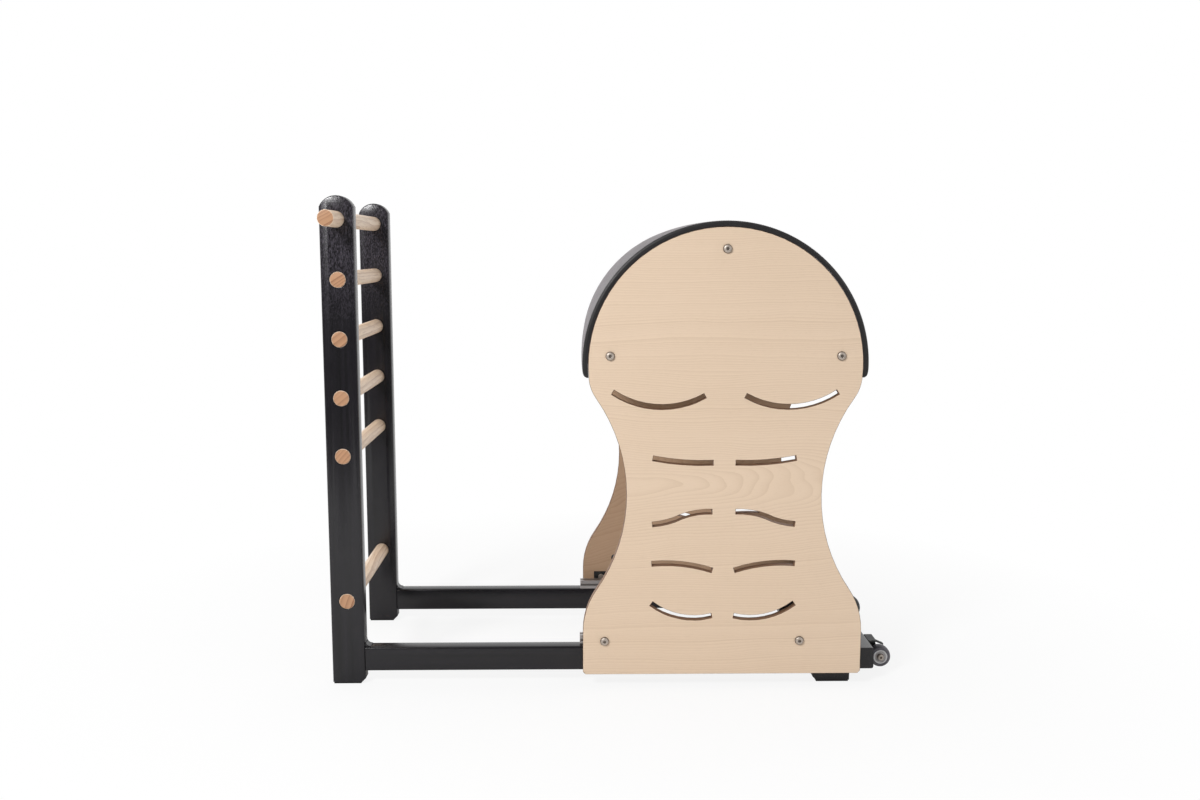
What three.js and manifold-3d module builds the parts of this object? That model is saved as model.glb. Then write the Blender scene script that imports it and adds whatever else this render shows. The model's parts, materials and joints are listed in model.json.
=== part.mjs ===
// A pilates ladder barrel. A black ladder with six dowel rungs stands at the front of two floor
// rails. A padded half barrel, held between two waisted side panels, slides along the rails on two
// slotted runners. A knob at the rear of each runner screws a shoe down onto the rail and locks it
// at any place. Two small wheels at the rear carry the apparatus when the ladder end is lifted.
// Millimetres. X runs from the ladder to the rear, Y across, Z up. Near is -Y and far is +Y.
import * as THREE from "three";
import { mergeVertices } from "three/addons/utils/BufferGeometryUtils.js";
import Module from "manifold-3d";

const wasm = await Module();
wasm.setup();

// Fits
const SEAT_GAP = 0.3; // between pieces that rest on each other
const RUNNING_GAP = 0.5; // between pieces that slide or turn
const CUT_OVERRUN = 2; // how far a cutting tool runs past the face it cuts
const WELD_DISTANCE = 0.0001;
const ARC_SAG = 0.25; // greatest distance from a true arc to its chord
const MIN_ARC_STEPS = 2;

// Widths
const PANEL_SPAN = 493.6; // over the side panels' outer faces
const PANEL_THICKNESS = 18;
const PANEL_RAIL_GAP = 8.4; // between a side panel and the rail inside it
const LADDER_WIDTH = PANEL_SPAN - 2 * (PANEL_THICKNESS + PANEL_RAIL_GAP);

// Ladder
const LADDER_HEIGHT = 1000;
const UPRIGHT_DEPTH = 68; // along X
const BOARD_THICKNESS = 31.6; // uprights and rails, along Y
const UPRIGHT_CROWN = 22.5; // rise of the rounded top
const HEEL_CHAMFER = 8;
const EDGE_ROUND = 4;
const EDGE_STEPS = 2;
const RUNG_DIAMETER = 32;
const TOP_RUNG_DROP = 47; // from the ladder's top to the axis of the top rung
const RUNG_PITCH = 118.6;
const PITCHED_RUNGS = 5;
const LOW_RUNG_HEIGHT = 176.5;
const GRIP_LENGTH = 95; // how far the top rung stands out of each upright
const RUNG_CHAMFER = 2;
const RUNG_SEGMENTS = 24;
const FOOT_PAD_THICKNESS = 3;
const FOOT_PAD_INSET = 2;

// Floor rails and rear crossbar
const FRAME_LENGTH = 1124; // ladder front to crossbar back
const RAIL_CLEARANCE = 27.8; // floor to the rail's underside
const RAIL_HEIGHT = 50.7;
const COVE_RADIUS = 12; // hollow corner between rail and upright
const COVE_TOE = 1; // thickness of the corner block's front edge
const CROSSBAR_DEPTH = 45;
const CROSSBAR_HEIGHT = 44.7;
const REAR_FOOT_LENGTH = 77;
const REAR_FOOT_SETBACK = 5; // from the crossbar's front face
const REAR_FOOT_BEVEL = 8;

// Rear stops
const STOP_LENGTH = 19;
const STOP_HEIGHT = 22;
const STOP_SETBACK = 1; // from the crossbar's front face
const STOP_CHAMFER = 2;

// Side panels
const PANEL_CLEARANCE = 28;
const PANEL_CORNER = 5;
const BARREL_SETBACK = 275; // barrel centre to the crossbar's front face
const DISC_RADIUS = 274;
const DISC_HEIGHT = 664.5;
const NECK_RADIUS = 80;
const WAIST_RADIUS = 345;
const WAIST_HALF_WIDTH = 197;
const WAIST_DROP = 261.5; // from the disc's centre
const WAIST_HEIGHT = DISC_HEIGHT - WAIST_DROP;
const SKIRT_RADIUS = 158;
const SKIRT_HALF_WIDTH = 285.5;
const SLOT_WIDTH = 10.2;

// The slots are mirrored about the panel's centre line. Reaches are shares of the skirt's half
// width and heights are shares of the disc centre's height. Turns are the shares of the slot's
// length where one arc hands over to the next, and each bow is a share of its own arc's length.
const SLOT_SHARES = [
  { outer: [0.788, 0.921], inner: [0.143, 0.91], turns: [0, 1], bows: [-0.141] },
  { outer: [0.505, 0.72], inner: [0.08, 0.706], turns: [0, 1], bows: [-0.03] },
  { outer: [0.506, 0.516], inner: [0.084, 0.555], turns: [0, 0.37, 1], bows: [-0.037, 0.064] },
  { outer: [0.509, 0.393], inner: [0.079, 0.3715], turns: [0, 1], bows: [0.051] },
  { outer: [0.511, 0.267], inner: [0.079, 0.228], turns: [0, 1], bows: [-0.115] },
];

// Barrel shell, battens and pad
const SHELL_THICKNESS = 9;
const SHELL_DROP = 24; // how far shell and pad reach below the disc centre
const BATTEN_DEPTH = 60; // along the barrel's radius
const BATTEN_WIDTH = 45;
const BATTEN_BOLT_RADIUS = 231; // barrel axis to the batten bolts
const SIDE_BATTEN_ANGLE = THREE.MathUtils.degToRad(4.9);
const PAD_THICKNESS = 11.7;
const PAD_CROWN = 3;
const PAD_EDGE_ROUND = 5;
const PAD_EDGE_STEPS = 2;
const CROWN_STEPS = 6;
const COVER_THICKNESS = 1.5;

// Runners
const RUNNER_SIZE = 20;
const RUNNER_LIP = 1.8;
const RUNNER_SLOT_OPENING = 6;
const RUNNER_SLOT_CHANNEL = 11;
const RUNNER_SLOT_DEPTH = 6;
const RUNNER_FRONT_OVERHANG = 6.5; // past the skirt's front edge

// Brackets between the panels and the runners
const BRACKET_LENGTH = 35;
const BRACKET_PLATE = 5;
const BRACKET_HEIGHT = 24.5;
const TONGUE_THICKNESS = 5;
const FRONT_BRACKET_INSET = 44.5; // from the skirt's front edge
const REAR_BRACKET_INSET = 127; // from the skirt's rear edge
const BRACKET_BOLT_HEIGHT = 70.5; // above the panel's lower edge

// Fasteners
const BOLT_DIAMETER = 8;
const BOLT_HEAD_DIAMETER = 20;
const BOLT_HEAD_HEIGHT = 5;
const HEAD_RIM_SHARE = 0.3; // of the head's height
const SOCKET_WIDTH_SHARE = 0.32; // of the head's diameter
const SOCKET_DEPTH_SHARE = 0.6; // of the head's height
const BOLT_TAIL = 8; // shank that stands out past a bracket, for its nut
const BATTEN_BOLT_REACH = 40; // into the end of a batten
const SINK_DIAMETER = 15; // counterbores for the frame bolts, in uprights and crossbar
const SINK_DEPTH = 8;
const SINK_SPACING = 22;
const FASTENER_SEGMENTS = 10;

// Locks
const LOCK_SETBACK = 9; // stud's axis in front of the crossbar's front face
const LOCK_LIFT = 2.5; // how far the shoe rises off the rail
const STUD_DIAMETER = 8;
const SHOE_DIAMETER = 14;
const SHOE_THICKNESS = 4;
const SHOE_SOCKET_DEPTH = 2.5;
const BUSH_DIAMETER = 12;
const BUSH_FLANGE_DIAMETER = 19;
const BUSH_FLANGE_HEIGHT = 4;
const BUSH_SPIGOT = 6; // pressed into the runner
const KNOB_DIAMETER = 54;
const KNOB_HEIGHT = 54.2; // knob centre above the runner
const KNOB_STUD_DEPTH = 14;
const KNOB_STEPS = 7;
const TURNED_SEGMENTS = 20;

// Wheels
const WHEEL_DIAMETER = 45;
const WHEEL_WIDTH = 24;
const WHEEL_HEIGHT = 34.6; // axle above the floor
const WHEEL_SETBACK = 27.2; // axle behind the crossbar
const WHEEL_INSET = 48.5; // wheel's outer face inside the end of the crossbar
const TYRE_ROUND = 3;
const TYRE_BORE = 30;
const HUB_RECESS = 3;
const HUB_RIM = 2.5;
const HUB_BOSS_DIAMETER = 15;
const WHEEL_BRACKET_WIDTH = 42;
const WHEEL_BRACKET_THICKNESS = 3.5;
const WHEEL_BRACKET_LOW = 32; // floor to the mounting plate's lower edge
const WHEEL_BRACKET_HIGH = 71;
const FENDER_FLAT = 17;
const FENDER_FALL = 6.5;
const FENDER_RUN = 15;
const FENDER_LIP_WIDTH = 9; // the sloping lip over the wheel's outer edge
const AXLE_EYE_RADIUS = 9;

// Places that follow from the sizes
const outerY = LADDER_WIDTH / 2;
const innerY = outerY - BOARD_THICKNESS;
const boardY = outerY - BOARD_THICKNESS / 2;
const railTop = RAIL_CLEARANCE + RAIL_HEIGHT;
const crossbarFront = FRAME_LENGTH - CROSSBAR_DEPTH;
const crossbarTop = RAIL_CLEARANCE + CROSSBAR_HEIGHT;
const railEnd = crossbarFront - SEAT_GAP;
const barrelX = crossbarFront - BARREL_SETBACK;
const panelOuterY = PANEL_SPAN / 2;
const panelInnerY = panelOuterY - PANEL_THICKNESS;
const insideY = panelInnerY - SEAT_GAP;
const wheelX = FRAME_LENGTH + WHEEL_SETBACK;
const overallLength = wheelX + WHEEL_DIAMETER / 2;
const runnerBottom = railTop + SEAT_GAP;
const runnerTop = runnerBottom + RUNNER_SIZE;
const runnerY = innerY + RUNNER_SIZE / 2;
const runnerOuterY = innerY + RUNNER_SIZE;
const lockX = BARREL_SETBACK - LOCK_SETBACK;
const stopFront = crossbarFront + STOP_SETBACK;
const bracketBoltZ = PANEL_CLEARANCE + BRACKET_BOLT_HEIGHT;
const bracketPlaces = [
  ["front", FRONT_BRACKET_INSET - SKIRT_HALF_WIDTH],
  ["rear", SKIRT_HALF_WIDTH - REAR_BRACKET_INSET],
];
const shellInner = DISC_RADIUS - SHELL_THICKNESS;
const padInner = DISC_RADIUS + SEAT_GAP;
const dropAngle = Math.asin(SHELL_DROP / DISC_RADIUS);
const SIDES = [
  ["near", -1],
  ["far", 1],
];

// Finishes
function finish(color, roughness, metalness = 0) {
  return new THREE.MeshStandardMaterial({ color, roughness, metalness });
}
const blackWood = finish(0x2a292b, 0.5);
const mapleFace = finish(0xdec7ac, 0.55);
const beechDowel = finish(0xd2b394, 0.6);
const rawWood = finish(0xc2a37c, 0.7);
const blackVinyl = finish(0x2f2e31, 0.45);
const paleFoam = finish(0xd8d2c2, 0.95);
const aluminium = finish(0xa9abae, 0.35, 1);
const blackNylon = finish(0x151517, 0.55);
const zincSteel = finish(0xb4b2ae, 0.3, 1);
const blackRubber = finish(0x1b1b1c, 0.85);
const greyHub = finish(0x8c8d90, 0.4, 0.6);

// Closed skins

// The volume inside a skin, negative where its faces point inwards.
function signedVolume(geometry) {
  const position = geometry.getAttribute("position");
  const index = geometry.index.array;
  const corner = [new THREE.Vector3(), new THREE.Vector3(), new THREE.Vector3()];
  let sum = 0;
  for (let i = 0; i < index.length; i += 3) {
    corner.forEach((point, k) => point.fromBufferAttribute(position, index[i + k]));
    sum += corner[0].dot(corner[1].clone().cross(corner[2]));
  }
  return sum / 6;
}

// Merges shared corners, drops empty triangles and turns the faces outwards.
function welded(geometry) {
  const plain = new THREE.BufferGeometry();
  plain.setAttribute("position", geometry.getAttribute("position").clone());
  if (geometry.index) plain.setIndex(geometry.index.clone());
  const merged = mergeVertices(plain, WELD_DISTANCE);
  const index = merged.index.array;
  const kept = [];
  for (let i = 0; i < index.length; i += 3) {
    const [a, b, c] = [index[i], index[i + 1], index[i + 2]];
    if (a !== b && b !== c && c !== a) kept.push(a, b, c);
  }
  merged.setIndex(kept);
  if (signedVolume(merged) < 0) merged.setIndex(kept.reverse());
  return merged;
}

function toSolid(geometry) {
  const skin = welded(geometry);
  return new wasm.Manifold(
    new wasm.Mesh({
      numProp: 3,
      vertProperties: new Float32Array(skin.getAttribute("position").array),
      triVerts: new Uint32Array(skin.index.array),
    }),
  );
}

function toGeometry(solid) {
  const mesh = solid.getMesh();
  const geometry = new THREE.BufferGeometry();
  geometry.setAttribute("position", new THREE.BufferAttribute(mesh.vertProperties, mesh.numProp));
  geometry.setIndex(new THREE.BufferAttribute(mesh.triVerts, 1));
  return geometry;
}

function cut(geometry, tools) {
  return toGeometry(tools.reduce((solid, tool) => solid.subtract(toSolid(tool)), toSolid(geometry)));
}

function joined(geometries) {
  const [first, ...rest] = geometries.map(toSolid);
  return toGeometry(rest.reduce((solid, next) => solid.add(next), first));
}

// Shapes in the plane

function point(x, y) {
  return new THREE.Vector2(x, y);
}

function arc(centreX, centreY, radius, from, to) {
  const step = 2 * Math.acos(Math.max(1 - ARC_SAG / radius, -1));
  const count = Math.max(MIN_ARC_STEPS, Math.ceil(Math.abs(to - from) / step));
  return Array.from({ length: count + 1 }, (_, i) => {
    const angle = from + ((to - from) * i) / count;
    return point(centreX + radius * Math.cos(angle), centreY + radius * Math.sin(angle));
  });
}

function circle(x, y, radius, segments) {
  return Array.from({ length: segments }, (_, i) => {
    const angle = (2 * Math.PI * i) / segments;
    return point(x + radius * Math.cos(angle), y + radius * Math.sin(angle));
  });
}

function rectangle(left, low, right, high) {
  return [point(left, low), point(right, low), point(right, high), point(left, high)];
}

function roundedRectangle(left, low, right, high, radius) {
  const quarter = Math.PI / 2;
  return [
    ...arc(right - radius, high - radius, radius, 0, quarter),
    ...arc(left + radius, high - radius, radius, quarter, 2 * quarter),
    ...arc(left + radius, low + radius, radius, 2 * quarter, 3 * quarter),
    ...arc(right - radius, low + radius, radius, 3 * quarter, 4 * quarter),
  ];
}

// Solids from shapes

// A board drawn in X and Z, centred on the plane y, with its long edges rounded over.
function boardInXZ(outline, thickness, y, round = 0, holes = []) {
  const clockwise = THREE.ShapeUtils.isClockWise(outline);
  const shape = new THREE.Shape(clockwise ? [...outline].reverse() : outline);
  shape.holes = holes.map((points) => new THREE.Path(points));
  const depth = thickness - 2 * round;
  const geometry = new THREE.ExtrudeGeometry(shape, {
    depth,
    bevelEnabled: round > 0,
    bevelThickness: round,
    bevelSize: round,
    bevelOffset: -round,
    bevelSegments: EDGE_STEPS,
  });
  return geometry.rotateX(Math.PI / 2).translate(0, y + depth / 2, 0);
}

// A bar along X whose section is drawn in Y and Z.
function barAlongX(section, fromX, toX) {
  const geometry = new THREE.ExtrudeGeometry(new THREE.Shape(section), {
    depth: toX - fromX,
    bevelEnabled: false,
  });
  const axes = new THREE.Matrix4().makeBasis(
    new THREE.Vector3(0, 1, 0),
    new THREE.Vector3(0, 0, 1),
    new THREE.Vector3(1, 0, 0),
  );
  return geometry.applyMatrix4(axes).translate(fromX, 0, 0);
}

function rod(radius, length, segments) {
  return new THREE.CylinderGeometry(radius, radius, length, segments);
}

function rodAlongX(radius, fromX, toX, y, z, segments = FASTENER_SEGMENTS) {
  return rod(radius, toX - fromX, segments).rotateZ(Math.PI / 2).translate((fromX + toX) / 2, y, z);
}

function rodAlongY(radius, fromY, toY, x, z, segments = FASTENER_SEGMENTS) {
  return rod(radius, Math.abs(toY - fromY), segments).translate(x, (fromY + toY) / 2, z);
}

function rodAlongZ(radius, fromZ, toZ, x, y, segments = FASTENER_SEGMENTS) {
  return rod(radius, toZ - fromZ, segments).rotateX(Math.PI / 2).translate(x, y, (fromZ + toZ) / 2);
}

function turned(profile, segments = TURNED_SEGMENTS) {
  return new THREE.LatheGeometry(profile, segments);
}

function closedRing(profile, segments = TURNED_SEGMENTS) {
  return turned([...profile, profile[0]], segments);
}

// Turns a piece made along local Y so that its top faces the side's outside.
function facingOut(geometry, side) {
  return side < 0 ? geometry.rotateZ(Math.PI) : geometry;
}

function add(parent, name, geometry, material) {
  const mesh = new THREE.Mesh(welded(geometry), material.clone());
  mesh.name = name;
  parent.add(mesh);
}

// Fasteners

const HEXAGON = 6;

// A domed socket bolt along local Y. The underside of its head is at zero, its shank hangs below.
function domedBolt(reach, headDiameter) {
  const radius = headDiameter / 2;
  const height = BOLT_HEAD_HEIGHT;
  const rise = height - height * HEAD_RIM_SHARE;
  const domeRadius = (radius * radius + rise * rise) / (2 * rise);
  const start = Math.acos(radius / domeRadius);
  const dome = arc(0, height - domeRadius, domeRadius, start, Math.PI / 2);
  const profile = [
    point(0, -reach),
    point(BOLT_DIAMETER / 2, -reach),
    point(BOLT_DIAMETER / 2, 0),
    point(radius, 0),
    ...dome.slice(0, -1),
    point(0, height),
  ];
  const floor = height - height * SOCKET_DEPTH_SHARE;
  const socketRadius = radius * SOCKET_WIDTH_SHARE;
  const socket = rodAlongY(socketRadius, floor, height + CUT_OVERRUN, 0, 0, HEXAGON);
  return cut(turned(profile, FASTENER_SEGMENTS), [socket]);
}

// Ladder
const apparatus = new THREE.Group();
const frame = new THREE.Group();
apparatus.add(frame);

const rungX = UPRIGHT_DEPTH / 2;
const topRungZ = LADDER_HEIGHT - TOP_RUNG_DROP;
const rungHeights = Array.from({ length: PITCHED_RUNGS }, (_, i) => topRungZ - i * RUNG_PITCH);
rungHeights.push(LOW_RUNG_HEIGHT);
const boltHoleRadius = BOLT_DIAMETER / 2 + SEAT_GAP;
const sinkHeights = [-1, 1].map(
  (end) => RAIL_CLEARANCE + (CROSSBAR_HEIGHT + end * SINK_SPACING) / 2,
);

// Counterbores for a pair of frame bolts, cut from one face along X.
function boltSinks(fromX, toX, side) {
  return sinkHeights.map((z) => rodAlongX(SINK_DIAMETER / 2, fromX, toX, side * boardY, z));
}

function uprightOutline() {
  const half = UPRIGHT_DEPTH / 2;
  const radius = (half * half + UPRIGHT_CROWN * UPRIGHT_CROWN) / (2 * UPRIGHT_CROWN);
  const shoulder = Math.asin(half / radius);
  const middle = Math.PI / 2;
  const centreZ = LADDER_HEIGHT - radius;
  return [
    point(0, FOOT_PAD_THICKNESS),
    point(UPRIGHT_DEPTH - HEEL_CHAMFER, FOOT_PAD_THICKNESS),
    point(UPRIGHT_DEPTH, FOOT_PAD_THICKNESS + HEEL_CHAMFER),
    ...arc(half, centreZ, radius, middle - shoulder, middle),
    ...arc(half, centreZ, radius, middle, middle + shoulder).slice(1),
  ];
}

// The hollow corner block on the back of the upright. Its toe rests on the rail's top.
function cove(side) {
  const inside = UPRIGHT_DEPTH - EDGE_ROUND;
  const tip = UPRIGHT_DEPTH + COVE_RADIUS;
  const low = railTop + SEAT_GAP;
  const toe = low + COVE_TOE;
  const outline = [
    point(inside, low),
    point(tip, low),
    ...arc(tip, toe + COVE_RADIUS, COVE_RADIUS, -Math.PI / 2, -Math.PI),
    point(inside, toe + COVE_RADIUS),
  ];
  return boardInXZ(outline, BOARD_THICKNESS - 2 * EDGE_ROUND, side * boardY);
}

function addUpright(sideName, side) {
  const plain = boardInXZ(uprightOutline(), BOARD_THICKNESS, side * boardY, EDGE_ROUND);
  const board = joined([plain, cove(side)]);
  const low = side * boardY - BOARD_THICKNESS / 2 - CUT_OVERRUN;
  const high = side * boardY + BOARD_THICKNESS / 2 + CUT_OVERRUN;
  const boreRadius = RUNG_DIAMETER / 2 + SEAT_GAP;
  const bores = rungHeights.map((z) => rodAlongY(boreRadius, low, high, rungX, z, RUNG_SEGMENTS));
  const sinks = boltSinks(-CUT_OVERRUN, SINK_DEPTH, side);
  add(frame, `upright_${sideName}`, cut(board, [...bores, ...sinks]), blackWood);
  const padRight = UPRIGHT_DEPTH - HEEL_CHAMFER - FOOT_PAD_INSET;
  const pad = rectangle(FOOT_PAD_INSET, 0, padRight, FOOT_PAD_THICKNESS - SEAT_GAP);
  const padWidth = BOARD_THICKNESS - 2 * EDGE_ROUND;
  add(frame, `front_foot_pad_${sideName}`, boardInXZ(pad, padWidth, side * boardY), blackRubber);
}

// The top rung runs on through both uprights as a pair of grips. The others end flush with them.
function addRung(z, i) {
  const half = outerY + (i === 0 ? GRIP_LENGTH : 0);
  const radius = RUNG_DIAMETER / 2;
  const profile = [
    point(0, -half),
    point(radius - RUNG_CHAMFER, -half),
    point(radius, RUNG_CHAMFER - half),
    point(radius, half - RUNG_CHAMFER),
    point(radius - RUNG_CHAMFER, half),
    point(0, half),
  ];
  const dowel = turned(profile, RUNG_SEGMENTS).translate(rungX, 0, z);
  add(frame, `rung_${i + 1}`, dowel, beechDowel);
}

// Rails, crossbar, rear feet and rear stops

function addRail(sideName, side) {
  const low = side * boardY - BOARD_THICKNESS / 2;
  const section = roundedRectangle(low, RAIL_CLEARANCE, low + BOARD_THICKNESS, railTop, EDGE_ROUND);
  const bar = barAlongX(section, UPRIGHT_DEPTH + SEAT_GAP, railEnd);
  add(frame, `rail_${sideName}`, bar, blackWood);
}

function addRearFoot(sideName, side) {
  const right = crossbarFront - REAR_FOOT_SETBACK;
  const left = right - REAR_FOOT_LENGTH;
  const top = RAIL_CLEARANCE - SEAT_GAP;
  const foot = [
    point(left + REAR_FOOT_BEVEL, FOOT_PAD_THICKNESS),
    point(right, FOOT_PAD_THICKNESS),
    point(right, top),
    point(left, top),
    point(left, FOOT_PAD_THICKNESS + REAR_FOOT_BEVEL),
  ];
  add(frame, `rear_foot_${sideName}`, boardInXZ(foot, BOARD_THICKNESS, side * boardY), blackWood);
  const padRight = right - FOOT_PAD_INSET;
  const pad = rectangle(left + REAR_FOOT_BEVEL, 0, padRight, FOOT_PAD_THICKNESS - SEAT_GAP);
  const padWidth = BOARD_THICKNESS - 2 * FOOT_PAD_INSET;
  add(frame, `rear_foot_pad_${sideName}`, boardInXZ(pad, padWidth, side * boardY), blackRubber);
}

// A rubber block on the crossbar that the end of the runner comes to rest against.
function addRearStop(sideName, side) {
  const low = crossbarTop + SEAT_GAP;
  const high = crossbarTop + STOP_HEIGHT;
  const back = stopFront + STOP_LENGTH;
  const outline = [
    point(stopFront, low),
    point(back, low),
    point(back, high - STOP_CHAMFER),
    point(back - STOP_CHAMFER, high),
    point(stopFront + STOP_CHAMFER, high),
    point(stopFront, high - STOP_CHAMFER),
  ];
  add(frame, `rear_stop_${sideName}`, boardInXZ(outline, RUNNER_SIZE, side * runnerY), blackRubber);
}

function addCrossbar() {
  const section = roundedRectangle(
    crossbarFront,
    RAIL_CLEARANCE,
    FRAME_LENGTH,
    crossbarTop,
    EDGE_ROUND,
  );
  const sinks = SIDES.flatMap(([, side]) =>
    boltSinks(FRAME_LENGTH - SINK_DEPTH, FRAME_LENGTH + CUT_OVERRUN, side),
  );
  add(frame, "rear_crossbar", cut(boardInXZ(section, LADDER_WIDTH, 0), sinks), blackWood);
}

// Wheels and their brackets
const wheelOuterY = outerY - WHEEL_INSET;
const wheelInnerY = wheelOuterY - WHEEL_WIDTH;
const armOuterY = wheelInnerY - RUNNING_GAP;
const armInnerY = armOuterY - WHEEL_BRACKET_THICKNESS;
const bracketInnerY = wheelOuterY - WHEEL_BRACKET_WIDTH;
const plateX = FRAME_LENGTH + SEAT_GAP;
const plateBack = plateX + WHEEL_BRACKET_THICKNESS;
const fenderLow = WHEEL_BRACKET_HIGH - WHEEL_BRACKET_THICKNESS;

// The plate against the crossbar, the arm that holds the axle and the fender over the wheel.
function wheelBracket(side) {
  const middleY = (side * (wheelOuterY + bracketInnerY)) / 2;
  const plate = rectangle(plateX, WHEEL_BRACKET_LOW, plateBack, WHEEL_BRACKET_HIGH);
  const bendX = plateX + FENDER_FLAT;
  const lipX = bendX + FENDER_RUN;
  const fender = rectangle(plateX, fenderLow, bendX, WHEEL_BRACKET_HIGH);
  const lip = [
    point(plateBack, fenderLow),
    point(bendX, fenderLow),
    point(lipX, fenderLow - FENDER_FALL),
    point(lipX, WHEEL_BRACKET_HIGH - FENDER_FALL),
    point(bendX, WHEEL_BRACKET_HIGH),
    point(plateBack, WHEEL_BRACKET_HIGH),
  ];
  const armTop = WHEEL_BRACKET_HIGH - WHEEL_BRACKET_THICKNESS / 2;
  const arm = [
    point(plateX, WHEEL_BRACKET_LOW),
    ...arc(wheelX, WHEEL_HEIGHT, AXLE_EYE_RADIUS, -Math.PI / 2, Math.PI / 2),
    point(bendX, armTop),
    point(plateX, armTop),
  ];
  const bracket = joined([
    boardInXZ(plate, WHEEL_BRACKET_WIDTH, middleY),
    boardInXZ(fender, WHEEL_BRACKET_WIDTH, middleY),
    boardInXZ(lip, FENDER_LIP_WIDTH, side * (wheelOuterY - FENDER_LIP_WIDTH / 2)),
    boardInXZ(arm, WHEEL_BRACKET_THICKNESS, (side * (armOuterY + armInnerY)) / 2),
  ]);
  const low = side * (armInnerY - CUT_OVERRUN);
  const high = side * (armOuterY + CUT_OVERRUN);
  return cut(bracket, [rodAlongY(boltHoleRadius, low, high, wheelX, WHEEL_HEIGHT)]);
}

function tyreProfile() {
  const radius = WHEEL_DIAMETER / 2;
  const half = WHEEL_WIDTH / 2;
  const quarter = Math.PI / 2;
  return [
    point(TYRE_BORE / 2, -half),
    ...arc(radius - TYRE_ROUND, TYRE_ROUND - half, TYRE_ROUND, -quarter, 0),
    ...arc(radius - TYRE_ROUND, half - TYRE_ROUND, TYRE_ROUND, 0, quarter),
    point(TYRE_BORE / 2, half),
  ];
}

// The hub has a raised rim and boss with a dished web between them on both faces.
function hubProfile() {
  const half = WHEEL_WIDTH / 2;
  const rim = TYRE_BORE / 2 - SEAT_GAP;
  const bore = BOLT_DIAMETER / 2 + RUNNING_GAP;
  const boss = HUB_BOSS_DIAMETER / 2;
  const web = half - HUB_RECESS;
  const upper = [
    point(rim, half),
    point(rim - HUB_RIM, half),
    point(rim - HUB_RIM, web),
    point(boss, web),
    point(boss, half),
    point(bore, half),
  ];
  const lower = upper.map((p) => point(p.x, -p.y)).reverse();
  return [...upper, ...lower];
}

function addWheel(sideName, side) {
  const wheel = new THREE.Group();
  wheel.position.set(wheelX, (side * (wheelOuterY + wheelInnerY)) / 2, WHEEL_HEIGHT);
  frame.add(wheel);
  add(wheel, `tyre_${sideName}`, closedRing(tyreProfile()), blackRubber);
  add(wheel, `wheel_hub_${sideName}`, closedRing(hubProfile()), greyHub);
  add(frame, `wheel_bracket_${sideName}`, wheelBracket(side), blackNylon);
  const headY = wheelOuterY + SEAT_GAP;
  const bolt = facingOut(domedBolt(headY - armInnerY + BOLT_TAIL, HUB_BOSS_DIAMETER), side);
  bolt.translate(wheelX, side * headY, WHEEL_HEIGHT);
  add(frame, `axle_bolt_${sideName}`, bolt, zincSteel);
}

// Side panels

// Where two circles meet, to the left of the way from the first centre to the second.
function meetingPoint(first, firstRadius, second, secondRadius) {
  const along = second.clone().sub(first);
  const distance = along.length();
  const sum = firstRadius * firstRadius - secondRadius * secondRadius + distance * distance;
  const reach = sum / (2 * distance);
  const rise = Math.sqrt(firstRadius * firstRadius - reach * reach);
  const unit = along.normalize();
  const left = point(-unit.y, unit.x);
  return first.clone().addScaledVector(unit, reach).addScaledVector(left, rise);
}

// Disc, neck, waist and skirt are arcs that run into each other without a corner. The neck's
// centre lies where it is tangent to the disc from inside and to the waist from outside. The
// skirt's arc ends at its widest point, or above it where the lower corner comes first.
function panelOutline() {
  const disc = point(0, DISC_HEIGHT);
  const waist = point(WAIST_HALF_WIDTH + WAIST_RADIUS, WAIST_HEIGHT);
  const neck = meetingPoint(disc, DISC_RADIUS - NECK_RADIUS, waist, WAIST_RADIUS + NECK_RADIUS);
  const skirtX = SKIRT_HALF_WIDTH - SKIRT_RADIUS;
  const reach = waist.x - skirtX;
  const both = WAIST_RADIUS + SKIRT_RADIUS;
  const skirt = point(skirtX, WAIST_HEIGHT - Math.sqrt(both * both - reach * reach));
  const cornerZ = PANEL_CLEARANCE + PANEL_CORNER;
  const skirtEnd = Math.asin(Math.max(cornerZ - skirt.y, 0) / SKIRT_RADIUS);
  const edgeX = skirtX + SKIRT_RADIUS * Math.cos(skirtEnd);
  const direction = (from, to) => Math.atan2(to.y - from.y, to.x - from.x);
  const fullTurn = 2 * Math.PI;
  const discEnd = direction(disc, neck);
  const right = [
    ...arc(disc.x, disc.y, DISC_RADIUS, Math.PI / 2, discEnd),
    ...arc(neck.x, neck.y, NECK_RADIUS, discEnd, direction(neck, waist)).slice(1),
    ...arc(
      waist.x,
      waist.y,
      WAIST_RADIUS,
      direction(waist, neck),
      direction(waist, skirt) + fullTurn,
    ).slice(1),
    ...arc(skirt.x, skirt.y, SKIRT_RADIUS, direction(skirt, waist), skirtEnd).slice(1),
    point(edgeX, cornerZ),
    point(edgeX - PANEL_CORNER, PANEL_CLEARANCE),
  ];
  const left = right.slice(1).map((p) => point(-p.x, p.y));
  return [...right, ...left.reverse()];
}

// Points along an arc from start to end. Its bow is measured to the left of the way it runs.
function bowedLine(start, end, bow) {
  const chord = end.clone().sub(start);
  const half = chord.length() / 2;
  const rise = Math.abs(bow) * chord.length();
  const radius = (half * half + rise * rise) / (2 * rise);
  const left = point(-chord.y, chord.x).normalize().multiplyScalar(Math.sign(bow));
  const centre = start.clone().lerp(end, 1 / 2).addScaledVector(left, rise - radius);
  const first = start.clone().sub(centre).angle();
  let last = end.clone().sub(centre).angle();
  if (last - first > Math.PI) last -= 2 * Math.PI;
  if (first - last > Math.PI) last += 2 * Math.PI;
  return arc(centre.x, centre.y, radius, first, last);
}

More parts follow.
